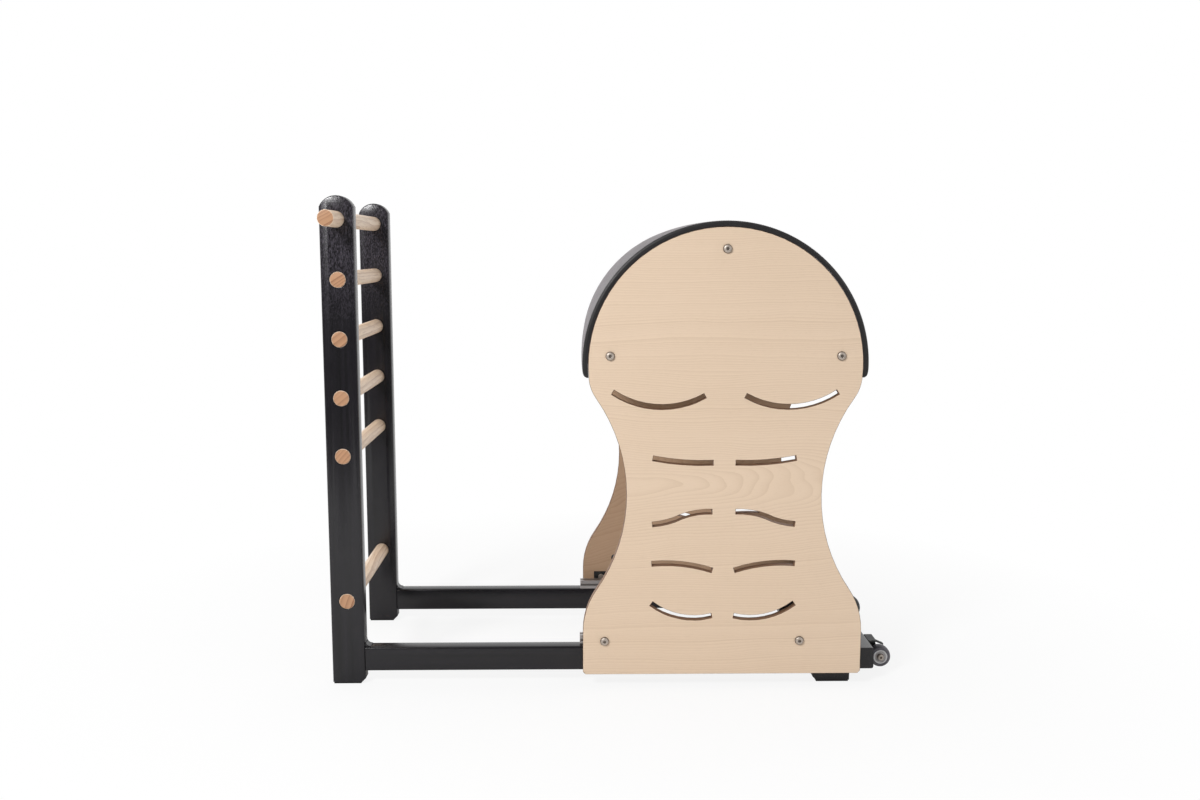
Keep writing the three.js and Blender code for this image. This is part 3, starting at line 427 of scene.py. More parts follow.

# %% [markdown]
# ## Black painted boards
# Uprights, rails, crossbar and rear feet are solid wood under a thin satin black paint. The paint
# doesn't fill the pores, so the faces show faint streaks along the board. Near the top of the
# uprights the open pores are painted as pale flecks, a painted sheen where they catch the light.
# A face seen at a low angle turns bright, as any smooth paint does. The recipe is made three
# times, because a pattern on object coordinates can't follow each board by itself: its streaks
# run along Z, X or Y.


# %% Finish of the black boards
# heights between which the pale pore flecks, a painted sheen, fade in towards the top
SHEEN_FROM, SHEEN_FULLY = 0.73, 0.88


def black_board(name, turn):
    finish, tree, shader = new_finish(name, IOR=1.5)
    place = object_place(tree, rotation=turn)
    pores = use_group(tree, open_pores, {"Vector": place, "Density": 0.66})
    height = part_of(tree, add_node(tree, "ShaderNodeTexCoord").outputs["Object"], "Z")
    # painted sheen: the real open pores are painted as pale flecks, more of them higher up
    painted_top_sheen = ramp(tree, height, SHEEN_FROM, SHEEN_FULLY, 0.03, 0.9)
    sheen_lit_pores = calc(tree, "MULTIPLY", painted_top_sheen, pores["Flecks"])
    grain = ramp(tree, pores["Streaks"], 0.3, 0.7)
    streaked = blend_colour(tree, grain, paint(4, 3, 5), paint(23, 20, 26))
    flecked_with_sheen = blend_colour(tree, sheen_lit_pores, streaked, paint(92, 87, 97))
    tree.links.new(flecked_with_sheen, shader["Base Color"])
    break_gloss(tree, shader, place, 0.25, 0.1, 28.0)
    relief = calc(tree, "SUBTRACT", calc(tree, "MULTIPLY", pores["Streaks"], 0.5), sheen_lit_pores)
    tree.links.new(raised(tree, relief, 0.0001), shader["Normal"])
    return finish


black_upright = black_board("black_upright", (0, 90, 0))
black_rail = black_board("black_rail", (0, 0, 0))
black_crossbar = black_board("black_crossbar", (0, 0, 90))
print("black boards", black_upright.name, black_rail.name, black_crossbar.name)

# %% [markdown]
# ## Maple faced panels
# The two side panels are plywood with a pale maple face. The face carries fine lines that run
# level, and here and there a nest of arches where the veneer was cut close to the heart. The
# faces that look inwards are painted a little browner and darker: painted shade for the dim
# inside of the barrel. The edges and the walls of the slots show the brown core, with the thin
# plies lying one on another across the board's thickness, and a dark line runs along every
# corner. These could be separate materials on separate faces, but one finish that looks at the
# direction of the surface needs no selecting.


# %% Finish of the maple panels
PLY_PAIR = 0.0028
PLY_EDGE = (0.0011, 0.0017)


def maple_panel():
    finish, tree, shader = new_finish("maple_panel", IOR=1.45)
    heart = object_place(tree, location=(0.0, 0.28, -0.42), rotation=(0, 1.0, 5.0))
    rings = use_group(
        tree, growth_rings, {"Vector": heart, "Spacing": 0.0045, "Wander": 0.075, "Slow Scale": 5.0}
    )
    pale = blend_colour(tree, rings["Cloud"], paint(229, 206, 182), paint(222, 198, 172))
    lined = blend_colour(
        tree, calc(tree, "MULTIPLY", rings["Rings"], 0.42), pale, paint(194, 164, 135)
    )
    flecks = calc(tree, "MULTIPLY", ramp(tree, rings["Fibre"], 0.56, 0.8), 0.35)
    face = blend_colour(tree, flecks, lined, paint(203, 177, 147))
    surface = add_node(tree, "ShaderNodeTexCoord").outputs
    across = part_of(tree, surface["Normal"], "Y")
    steep = calc(tree, "ABSOLUTE", across)
    depth = part_of(tree, surface["Object"], "Y")
    # painted shade: faces that look into the barrel are multiplied darker and browner
    inner_face_shade = ramp(tree, calc(tree, "MULTIPLY", across, depth), -0.1, -0.2)
    shaded_backing = blend_colour(tree, 1.0, face, paint(206, 192, 181), "MULTIPLY")
    face = blend_colour(tree, inner_face_shade, face, shaded_backing)
    plies = calc(tree, "PINGPONG", calc(tree, "ABSOLUTE", depth), PLY_PAIR)
    ply = ramp(tree, plies, *PLY_EDGE)
    core = blend_colour(tree, ply, paint(138, 104, 80), paint(166, 130, 101))
    scorch = calc(tree, "MULTIPLY", rings["Fibre"], 0.5)
    burnt = blend_colour(tree, scorch, core, paint(94, 66, 46))
    edge = blend_colour(tree, ramp(tree, steep, 0.1, 0.3), burnt, paint(88, 60, 42))
    board = blend_colour(tree, ramp(tree, steep, 0.9, 0.98), edge, face)
    tree.links.new(board, shader["Base Color"])
    break_gloss(tree, shader, heart, 0.52, 0.12, 22.0)
    relief = calc(tree, "ADD", rings["Fibre"], calc(tree, "MULTIPLY", rings["Rings"], 0.6))
    tree.links.new(raised(tree, relief, 0.00006), shader["Normal"])
    return finish


maple = maple_panel()
print("finish", maple.name)

# %% [markdown]
# ## Dowels and raw wood
# The rungs are turned beech with a thin clear finish. Their sides show long fibres and small
# dark rays, and their sawn ends are darker, with the arcs of the rings. Both come from the same
# rings, seen along and across. Shell and battens are raw birch plywood, a little greyer.


# %% Finish of dowels and raw wood
def round_dowel():
    finish, tree, shader = new_finish("beech_dowel", IOR=1.45)
    along = object_place(tree, location=(0.56, 0.0, 0.021), rotation=(0, 0, 90))
    rings = use_group(
        tree, growth_rings, {"Vector": along, "Spacing": 0.0078, "Wander": 0.035, "Slow Scale": 5.0}
    )
    base = blend_colour(tree, rings["Cloud"], paint(255, 234, 210), paint(248, 218, 188))
    lined = blend_colour(
        tree, calc(tree, "MULTIPLY", rings["Rings"], 0.6), base, paint(184, 142, 110)
    )
    rays = calc(tree, "MULTIPLY", ramp(tree, rings["Fibre"], 0.52, 0.7), 0.55)
    side = blend_colour(tree, rays, lined, paint(180, 132, 96))
    across = part_of(tree, add_node(tree, "ShaderNodeTexCoord").outputs["Normal"], "Y")
    is_end = ramp(tree, calc(tree, "ABSOLUTE", across), 0.75, 0.95)
    end = blend_colour(
        tree, calc(tree, "MULTIPLY", rings["Rings"], 0.9), paint(185, 142, 109), paint(132, 88, 62)
    )
    tree.links.new(blend_colour(tree, is_end, side, end), shader["Base Color"])
    break_gloss(tree, shader, along, 0.42, 0.16, 60.0)
    tree.links.new(raised(tree, rings["Fibre"], 0.00008), shader["Normal"])
    return finish


def raw_plywood():
    finish, tree, shader = new_finish("raw_plywood", IOR=1.45)
    across = object_place(tree, location=(0.0, 0.0, -0.5), rotation=(0, 0, 90))
    rings = use_group(
        tree, growth_rings, {"Vector": across, "Spacing": 0.008, "Wander": 0.09, "Slow Scale": 3.0}
    )
    base = blend_colour(tree, rings["Cloud"], paint(204, 178, 143), paint(184, 154, 118))
    lined = blend_colour(
        tree, calc(tree, "MULTIPLY", rings["Rings"], 0.6), base, paint(152, 120, 86)
    )
    tree.links.new(lined, shader["Base Color"])
    break_gloss(tree, shader, across, 0.68, 0.16, 50.0)
    tree.links.new(raised(tree, rings["Fibre"], 0.0001), shader["Normal"])
    return finish


dowel = round_dowel()
plywood = raw_plywood()
print("finishes", dowel.name, plywood.name)

# %% [markdown]
# ## Vinyl
# The pad is covered with black upholstery vinyl. It is nearly black where it faces us and turns
# a pale grey lilac where it is seen at a low angle, along the top of the arch. A mirror-like coat
# would give that too, but with hard edges, so a soft sheen does it. The vinyl has an embossed
# grain of small pebbles and faint lines where it was pulled tight along the arch.


# %% Finish of the vinyl
def black_vinyl():
    finish, tree, shader = new_finish(
        "black_vinyl", IOR=1.5, Coat_Weight=0.05, Coat_Roughness=0.3,
        Sheen_Weight=0.6, Sheen_Roughness=0.3, Sheen_Tint=paint(240, 230, 236),
    )
    place = object_place(tree)
    pebbles = use_group(tree, pebble_grain, {"Vector": place, "Cells": 800.0})
    pulls = noise(tree, object_place(tree, scale=(0.6, 42, 0.6)), 1.0, 2.0)["Fac"]
    cloud = noise(tree, place, 9.0, 4.0)["Fac"]
    base = blend_colour(tree, cloud, paint(16, 14, 15), paint(27, 25, 26))
    tree.links.new(base, shader["Base Color"])
    break_gloss(tree, shader, place, 0.46, 0.2, 26.0)
    relief = calc(tree, "ADD", calc(tree, "MULTIPLY", pulls, 5.0), pebbles["Height"])
    tree.links.new(raised(tree, relief, 0.00016), shader["Normal"])
    return finish


vinyl = black_vinyl()
print("finish", vinyl.name)

# %% [markdown]
# ## Metals
# The runners are drawn aluminium with fine lines along their length. Bolts and nuts are zinc
# plated and turned, so their marks run round the axis. A noise in space can't follow so many
# axes, so those pieces carry an attribute that says how far a point is from its axis, and
# another that says how much painted shade darkens it: in sockets and under rims, where shade
# falls.


# %% Finishes of aluminium and steel
def drawn_aluminium():
    finish, tree, shader = new_finish("drawn_aluminium", Metallic=1.0)
    drawn = noise(tree, object_place(tree, scale=(3, 2600, 2600)), 1.0, 2.0)["Fac"]
    base = blend_colour(tree, drawn, paint(170, 166, 165), paint(196, 192, 191))
    tree.links.new(base, shader["Base Color"])
    break_gloss(tree, shader, object_place(tree), 0.36, 0.16, 30.0)
    tree.links.new(raised(tree, drawn, 0.00003), shader["Normal"])
    return finish


def turned_steel():
    finish, tree, shader = new_finish("turned_steel", Metallic=1.0)
    rings = noise_along(tree, attribute(tree, "axis_distance"), 2600.0, 2.0)
    bright = blend_colour(tree, rings, paint(186, 175, 165), paint(208, 198, 188))
    # painted shade: darker where the attribute says, in sockets, bores and under rims
    shade_darkened = blend_colour(tree, attribute(tree, "painted_shade"), bright, paint(86, 74, 66))
    tree.links.new(shade_darkened, shader["Base Color"])
    break_gloss(tree, shader, object_place(tree), 0.52, 0.14, 300.0)
    tree.links.new(raised(tree, rings, 0.00004), shader["Normal"])
    return finish


aluminium = drawn_aluminium()
steel = turned_steel()
print("finishes", aluminium.name, steel.name)

# %% [markdown]
# Brackets are steel under a black powder coat, knobs are moulded plastic, soles and tyres are
# rubber. All of them are a dark colour under a grain of small pebbles, and differ only in
# lightness, gloss and how coarse and deep the grain is. So one recipe makes all four.


# %% Finishes of powder coat, plastic and rubber
def dark_moulding(name, dark, light, roughness, cells, depth):
    finish, tree, shader = new_finish(name, IOR=1.5)
    place = object_place(tree)
    pebbles = use_group(tree, pebble_grain, {"Vector": place, "Cells": cells})
    cloud = break_gloss(tree, shader, place, roughness, 0.18, 90.0)["Height"]
    mottle = ramp(tree, calc(tree, "MULTIPLY", pebbles["Height"], cloud), 0.1, 0.6)
    tree.links.new(blend_colour(tree, mottle, dark, light), shader["Base Color"])
    tree.links.new(raised(tree, pebbles["Height"], depth), shader["Normal"])
    return finish


GRAINS = {  # dark and light colour, roughness, pebbles in a metre, depth in metres
    "powder_coat": (paint(12, 13, 13), paint(52, 54, 53), 0.5, 420, 0.0003),
    "knob_plastic": (paint(12, 12, 13), paint(22, 22, 24), 0.55, 1500, 0.00003),
    "sole_rubber": (paint(20, 20, 21), paint(34, 34, 35), 0.85, 700, 0.0001),
    "tyre_rubber": (paint(88, 86, 92), paint(110, 107, 113), 0.6, 900, 0.00006),
}
moulded = {name: dark_moulding(name, *values) for name, values in GRAINS.items()}
powder_coat, knob_plastic, sole_rubber, tyre_rubber = moulded.values()
print("dark mouldings", *moulded)

# %% [markdown]
# A wheel hub is grey plastic that shines a little like metal. Its raised rim shows as a bright
# ring. The rim could be a part of its own, but it is one moulding, so the finish is painted
# lighter where the distance from the axle passes the rim's inner edge: a painted highlight on
# the proud rim.


# %% Finish of the wheel hub
# distance from the axle where the painted highlight of the rim begins
RIM_HIGHLIGHT_START = 0.0117


def grey_hub():
    finish, tree, shader = new_finish("grey_hub", Metallic=0.35)
    radius = attribute(tree, "axis_distance")
    # painted highlight: the rim is painted lighter than the web of the same moulding
    rim = ramp(tree, radius, RIM_HIGHLIGHT_START, RIM_HIGHLIGHT_START + 0.0006)
    marks = noise_along(tree, radius, 900.0, 1.0)
    web = blend_colour(tree, marks, paint(172, 169, 170), paint(206, 202, 200))
    tree.links.new(blend_colour(tree, rim, web, paint(214, 213, 214)), shader["Base Color"])
    break_gloss(tree, shader, object_place(tree), 0.36, 0.1, 200.0)
    tree.links.new(raised(tree, marks, 0.00008), shader["Normal"])
    return finish


hub_grey = grey_hub()
print("finish", hub_grey.name)

# %% [markdown]
# ## Boards and extrusions that keep their CAD shape
# The shapes are right already, but a sawn or routed edge is never knife sharp, and the rounded
# tops show flat strips. Modelling every board again would risk its size. So a copy of each mesh
# is welded, its flat triangles are merged, gentle angles are smoothed and real edges get a tiny
# bevel that catches the light. The copy then stands in for the CAD node.


# %% Finished copies of CAD nodes
SMOOTH_BELOW = math.radians(32)
FLAT_BELOW = math.radians(0.6)
WELD_DISTANCE = 1e-5


def smooth_gentle_edges(shape):
    for edge in shape.edges:
        edge.smooth = len(edge.link_faces) == 2 and edge.calc_face_angle() < SMOOTH_BELOW
    for face in shape.faces:
        face.smooth = True


def settle(piece, body, slot, *nodes):
    """Puts a piece on its body and lets it stand in for CAD nodes. The slot is not used."""
    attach(piece, body)
    if nodes:
        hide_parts(*nodes)


def finished_copy(node, finish, bevel, slot):
    source = frame["nodes"][node]
    mesh = source.data.copy()
    shape = bmesh.new()
    shape.from_mesh(mesh)
    bmesh.ops.remove_doubles(shape, verts=shape.verts, dist=WELD_DISTANCE)
    bmesh.ops.dissolve_limit(shape, angle_limit=FLAT_BELOW, verts=shape.verts, edges=shape.edges)
    smooth_gentle_edges(shape)
    shape.to_mesh(mesh)
    shape.free()
    mesh.materials.clear()
    mesh.materials.append(finish)
    piece = link_piece(f"{node}_finished", mesh)
    rounding = piece.modifiers.new("edge", "BEVEL")
    rounding.width = bevel
    rounding.segments = 2
    rounding.limit_method = "ANGLE"
    rounding.angle_limit = SMOOTH_BELOW
    rounding.harden_normals = True
    rounding.use_clamp_overlap = False
    settle(piece, source["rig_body"], slot, node)


SIDES = (("near", -1), ("far", 1))  # the side's name in the CAD, and its way out along Y
PAIRED = {  # finish, bevel and slot of each board or plate that both sides have
    "upright": (black_upright, 0.0006, "black_wood"),
    "rail": (black_rail, 0.0006, "black_wood"),
    "rear_foot": (black_rail, 0.0012, "black_wood"),
    "side_panel": (maple, 0.0012, "maple_panel"),
    "wheel_bracket": (powder_coat, 0.0005, "black_metal"),
    "rear_stop": (sole_rubber, 0.0012, "foot_rubber"),
    "bracket_front": (powder_coat, 0.0006, "black_metal"),
    "bracket_rear": (powder_coat, 0.0006, "black_metal"),
}
SINGLE = {
    "rear_crossbar": (black_crossbar, 0.0006, "black_wood"),
    "barrel_shell": (plywood, 0.0004, "raw_wood"),
    "batten_top": (plywood, 0.0008, "raw_wood"),
    "batten_front": (plywood, 0.0008, "raw_wood"),
    "batten_rear": (plywood, 0.0008, "raw_wood"),
}
for side_name, _ in SIDES:
    for kind, values in PAIRED.items():
        finished_copy(f"{kind}_{side_name}", *values)
for name, values in SINGLE.items():
    finished_copy(name, *values)
print("boards and plates finished", 2 * len(PAIRED) + len(SINGLE))

# %% [markdown]
# The runners are sawn from a drawn bar, and the soles and lock shoes are cut from sheet rubber.
# Their edges really are sharp, so a new finish on the CAD node is all that they need.

# %% CAD nodes that only need a finish
BARE = {
    "runner": aluminium,
    "front_foot_pad": sole_rubber,
    "rear_foot_pad": sole_rubber,
    "lock_shoe": sole_rubber,
}
for side_name, _ in SIDES:
    for kind, finish in BARE.items():
        for holder in frame["nodes"][f"{kind}_{side_name}"].material_slots:
            holder.material = finish
print("CAD nodes finished", 2 * len(BARE))

# %% [markdown]
# ## Turned pieces
# Rungs, knobs, bushes, tyres and hubs are all round about one axis. The CAD's rounds have few
# sides, so each is made again as a profile, drawn as radius and height, spun in many steps and
# closed at its poles. The spin stores every point's distance from the axis, which the metal
# finishes use for their tool marks.


# %% Spin a profile
def rounded_corner(before, corner, after, radius, steps=3):
    """Points that replace a profile's corner by a small round."""
    a, b, c = (Vector((*p, 0)) for p in (before, corner, after))
    first = b + (a - b).normalized() * min(radius, (a - b).length / 2)
    last = b + (c - b).normalized() * min(radius, (c - b).length / 2)
    points = []
    for i in range(steps + 1):
        t = i / steps
        p = first * (1 - t) ** 2 + b * 2 * t * (1 - t) + last * t * t
        points.append((p.x, p.y))
    return points


def eased(profile, radius, steps=3, ring=False):
    """The profile with every corner that is off the axis rounded by the same radius."""
    count = len(profile)
    result = []
    for i, p in enumerate(profile):
        if not ring and i in (0, count - 1):
            result.append(p)
            continue
        before, after = profile[i - 1], profile[(i + 1) % count]
        result += rounded_corner(before, p, after, radius, steps)
    return result


ACROSS, UPWARDS = Vector((0, 1, 0)), Vector((0, 0, 1))


def spin_profile(name, profile, up, centre, body, finish, slot, node, segments=64, ring=False):
    """Heights in the profile run along the unit vector up, from centre. A ring's profile is
    closed in itself, any other one starts and ends on the axis."""
    side = up.orthogonal().normalized()
    other = up.cross(side)
    shape = bmesh.new()
    distance = shape.verts.layers.float.new("axis_distance")
    columns = []
    for i in range(segments):
        angle = 2 * math.pi * i / segments
        out = side * math.cos(angle) + other * math.sin(angle)
        column = []
        for radius, height in profile:
            vertex = shape.verts.new(Vector(centre) + out * radius + up * height)
            vertex[distance] = radius
            column.append(vertex)
        columns.append(column)
    count = len(profile)
    for i in range(segments):
        here, there = columns[i], columns[(i + 1) % segments]
        for k in range(count if ring else count - 1):
            j = (k + 1) % count
            shape.faces.new((here[k], there[k], there[j], here[j]))
    bmesh.ops.remove_doubles(shape, verts=shape.verts, dist=1e-7)
    bmesh.ops.recalc_face_normals(shape, faces=shape.faces)
    smooth_gentle_edges(shape)
    mesh = bpy.data.meshes.new(name)
    shape.to_mesh(mesh)
    shape.free()
    mesh.materials.append(finish)
    settle(link_piece(name, mesh), body, slot, node)


print("spin ready")

# %% [markdown]
# The rungs are plain dowels whose ends are a little rounded. The top one runs through both
# uprights and makes a pair of grips. Their sizes could be typed in again, but they are read from
# the CAD nodes, so that nothing can drift.


# %% Rungs
RUNG_ROUND = 0.0022
for number in range(1, 7):
    node = f"rung_{number}"
    low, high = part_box(node)
    centre = (low + high) / 2
    radius = (high.z - low.z) / 2
    half = (high.y - low.y) / 2
    section = [(0, -half), (radius, -half), (radius, half), (0, half)]
    outline = eased(section, RUNG_ROUND)
    spin_profile(f"{node}_turned", outline, ACROSS, centre, "frame", dowel, "dowel", node)
print("rungs turned, radius", round(radius * 1000, 2), "mm")

# %% [markdown]
# Behind the panels each runner carries a lock: a black ball knob on a stud that screws down
# through a flanged bush. A plain sphere would be quicker, but a real one shows the fine ridge
# where its mould halves met and a flat facet at the bottom, and both catch the light. The stud
# is made further down, with the other things that repeat.


# %% Lock knobs and bushes
KNOB_HOLE, KNOB_FACET, KNOB_HOLE_DEPTH = 0.0043, 0.008, 0.012
MOULD_RIDGE, MOULD_RIDGE_ANGLE, BALL_INSET = 0.00018, 0.05, 0.0001
BUSH_BORE, BUSH_SPIGOT, BUSH_SPIGOT_LENGTH, BUSH_ROUND = 0.0045, 0.006, 0.006, 0.0007


def knob_profile(radius):
    bottom = -math.sqrt(radius**2 - KNOB_FACET**2)
    top_of_hole = bottom + KNOB_HOLE_DEPTH
    points = [(0, top_of_hole), (KNOB_HOLE, top_of_hole), (KNOB_HOLE, bottom)]
    points.append((KNOB_FACET, bottom))
    start = math.asin(bottom / radius)
    steps = 40
    for i in range(1, steps):
        angle = start + (math.pi / 2 - start) * i / steps
        ridge = MOULD_RIDGE if abs(angle) < MOULD_RIDGE_ANGLE else 0
        wide = radius - BALL_INSET + ridge
        points.append((wide * math.cos(angle), radius * math.sin(angle)))
    return [*points, (0, radius)]


def bush_section(flange, height):
    foot, step = (BUSH_SPIGOT, 0), BUSH_SPIGOT_LENGTH
    section = [(BUSH_BORE, 0), foot, (BUSH_SPIGOT, step), (flange, step), (flange, height)]
    return eased([*section, (BUSH_BORE, height)], BUSH_ROUND, 2, ring=True)


for side_name, _ in SIDES:
    node = f"lock_knob_{side_name}"
    low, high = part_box(node)
    centre = (low + high) / 2
    radius = (high.x - low.x) / 2
    centre.z = high.z - radius
    spin_profile(
        f"lock_knob_ball_{side_name}", knob_profile(radius), UPWARDS, centre,
        node, knob_plastic, "black_plastic", node,
    )
    node = f"lock_bush_{side_name}"
    low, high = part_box(node)
    section = bush_section((high.x - low.x) / 2, high.z - low.z)
    foot = ((low.x + high.x) / 2, (low.y + high.y) / 2, low.z)
    spin_profile(
        f"lock_bush_turned_{side_name}", section, UPWARDS, foot,
        "carriage", steel, "bolt_steel", node, 48, ring=True,
    )
print("knob radius", round(radius * 1000, 1), "mm")

# %% [markdown]
# The transport wheels have a grey hub pressed into a dark tyre. A torus would do for the tyre,
# but a real one has a flat tread with round shoulders, so both are spun from an outline. The
# hub's rim stands proud and is the bright ring in the photograph. Inside it a dished web carries
# concentric grooves, and a boss holds the axle.


# %% Wheels
TYRE_BORE, TYRE_ROUND = 0.015, 0.0024
TYRE_SHOULDER, TYRE_TREAD = 0.93, 0.4  # shares of the radius and of half the width
HUB_RIM, HUB_BORE, HUB_ROUND = 0.0147, 0.0045, 0.0004
HUB_BOSS, HUB_BOSS_FOOT = 0.0076, 0.0082


def tyre_section(radius, half):
    shoulder = radius * TYRE_SHOULDER
    crown = [(radius, -half * TYRE_TREAD), (radius, half * TYRE_TREAD)]
    outer = [(TYRE_BORE, -half), (shoulder, -half), *crown, (shoulder, half), (TYRE_BORE, half)]
    return eased(outer, TYRE_ROUND, 4, ring=True)


def hub_section(half):
    rim = HUB_RIM
    upper = [(rim, half), (rim - 0.0022, half), (rim - 0.0028, half - 0.0022)]
    upper += [(rim - 0.0046, half - 0.003), (rim - 0.0052, half - 0.0021)]
    upper += [(rim - 0.0058, half - 0.003), (HUB_BOSS_FOOT, half - 0.003)]
    upper += [(HUB_BOSS, half - 0.0004), (HUB_BORE, half)]
    lower = [(r, -h) for r, h in reversed(upper)]
    return eased(upper + lower, HUB_ROUND, 2, ring=True)


for side_name, _ in SIDES:
    low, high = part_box(f"tyre_{side_name}")
    centre = (low + high) / 2
    radius, half = (high.z - low.z) / 2, (high.y - low.y) / 2
    place = (ACROSS, centre, f"wheel_{side_name}")
    spin_profile(
        f"tyre_round_{side_name}", tyre_section(radius, half), *place,
        tyre_rubber, "wheel_tyre", f"tyre_{side_name}", 72, ring=True,
    )
    spin_profile(
        f"wheel_hub_dished_{side_name}", hub_section(half), *place,
        hub_grey, "wheel_hub", f"wheel_hub_{side_name}", 64, ring=True,
    )
print("wheel radius", round(radius * 1000, 1), "mm")

# %% [markdown]
# ## Fasteners, made with Geometry Nodes
# Bolts, nuts and screws repeat all over the apparatus. They could be modelled once and copied by
# hand, but a tree keeps them alike and takes other sizes as inputs. So one tree makes each kind
# and places it on a cloud of points. A fastener is a grid wrapped round an axis: one side of it
# runs round, the other runs along the outline, and curves give radius, height and painted shade
# along it.
# A six-sided factor turns the round hole into a hexagon. Each point carries the direction in
# which the head looks. The result is turned into a plain mesh, one for each kind.


# %% Geometry tree helpers
def geometry_tree(name, sizes):
    """A tree that takes points or a path, some sizes and a finish, and gives a shape."""
    tree = bpy.data.node_groups.new(name, "GeometryNodeTree")
    tree.interface.new_socket("Geometry", in_out="INPUT", socket_type="NodeSocketGeometry")
    add_number_inputs(tree, sizes)
    tree.interface.new_socket("Finish", in_out="INPUT", socket_type="NodeSocketMaterial")
    tree.interface.new_socket("Geometry", in_out="OUTPUT", socket_type="NodeSocketGeometry")
    return with_ends(tree)


def real_copies(tree, points, shape, turn):
    """One smooth copy of the shape on every point."""
    placed = {"Points": points, "Instance": shape, "Rotation": turn}
    instances = add_node(tree, "GeometryNodeInstanceOnPoints", placed).outputs[0]
    real = add_node(tree, "GeometryNodeRealizeInstances", {0: instances}).outputs[0]
    soft = {"Geometry": real, "Shade Smooth": True}
    return add_node(tree, "GeometryNodeSetShadeSmooth", soft, domain="FACE").outputs[0]


def end_tree(tree, entry, result, shape):
    """Gives the shape its finish and hands it out."""
    painted = {"Geometry": shape, "Material": entry["Finish"]}
    done = add_node(tree, "GeometryNodeSetMaterial", painted).outputs[0]
    tree.links.new(done, result["Geometry"])


def shape_curve(tree, value, points):
    """A Float Curve through the given points, with straight pieces between them."""
    made = add_node(tree, "ShaderNodeFloatCurve", {"Value": value})
    curve = made.mapping.curves[0]
    for x, y in points[1:-1]:
        curve.points.new(x, y)
    curve.points[0].location = points[0]
    curve.points[len(curve.points) - 1].location = points[-1]
    for point in curve.points:
        point.handle_type = "VECTOR"
    made.mapping.update()
    return made.outputs[0]


def hexagon_factor(tree, angle):
    """How far a hexagon's side lies from its centre, for a corner distance of one."""
    from_flat = calc(tree, "PINGPONG", angle, math.pi / 6)
    return calc(tree, "DIVIDE", math.cos(math.pi / 6), calc(tree, "COSINE", from_flat))


def mix_number(tree, share, first, second):
    return add_node(tree, "ShaderNodeMix", {0: share, 2: first, 3: second}).outputs[0]


def place_of(tree, radius, height, angle):
    x = calc(tree, "MULTIPLY", radius, calc(tree, "COSINE", angle))
    y = calc(tree, "MULTIPLY", radius, calc(tree, "SINE", angle))
    return add_node(tree, "ShaderNodeCombineXYZ", {"X": x, "Y": y, "Z": height}).outputs[0]


def run_tree(tree, name, host, values, body, slot, *nodes):
    """Runs the tree on host's points and returns the result as a plain mesh on that body."""
    modifier = host.modifiers.new("make", "NODES")
    modifier.node_group = tree
    for item in tree.interface.items_tree:
        if item.item_type == "SOCKET" and item.in_out == "INPUT" and item.name in values:
            modifier[item.identifier] = values[item.name]
    graph = bpy.context.evaluated_depsgraph_get()
    mesh = bpy.data.meshes.new_from_object(host.evaluated_get(graph))
    mesh.name = name
    host.modifiers.remove(modifier)
    bpy.data.objects.remove(host)
    settle(link_piece(name, mesh), body, slot, *nodes)
    return mesh


def point_host(places):
    """A mesh of single points, each with the direction in which its head looks."""
    mesh = bpy.data.meshes.new("places")
    mesh.from_pydata([place for place, _ in places], [], [])
    facing = mesh.attributes.new("facing", "FLOAT_VECTOR", "POINT")
    facing.data.foreach_set("vector", [v for _, way in places for v in way])
    return link_piece("places", mesh)


print("geometry helpers ready")

# %% [markdown]
# The tree has two halves. The first wraps the grid into one fastener of the wanted size. The
# second places that on every point, turns it to look the right way, makes it real geometry,
# smooths all but the sharp edges and gives it its finish. The threaded stud uses this second
# half again.


# %% The fastener tree
SHARP_FROM = 0.6  # radians between two faces
GRID_COLUMNS = 49


def finish_tree(tree, entry, result, shape):
    """Places the shape on every point, keeps its sharp edges, and gives it its finish."""
    facing = add_node(
        tree, "GeometryNodeInputNamedAttribute", {"Name": "facing"}, data_type="FLOAT_VECTOR"
    )
    turn = add_node(
        tree, "FunctionNodeAlignRotationToVector", {"Vector": facing.outputs[0]}, axis="Z"
    )
    copies = real_copies(tree, entry["Geometry"], shape, turn.outputs[0])
    angle = add_node(tree, "GeometryNodeInputMeshEdgeAngle").outputs[0]
    gentle = add_node(
        tree, "FunctionNodeCompare", {0: angle, 1: SHARP_FROM}, operation="LESS_THAN"
    )
    edged = {"Geometry": copies, "Shade Smooth": gentle.outputs[0]}
    shaded = add_node(tree, "GeometryNodeSetShadeSmooth", edged, domain="EDGE").outputs[0]
    end_tree(tree, entry, result, shaded)


def stored(tree, geometry, name, value):
    inputs = {"Geometry": geometry, "Name": name, "Value": value}
    return add_node(tree, "GeometryNodeStoreNamedAttribute", inputs).outputs[0]


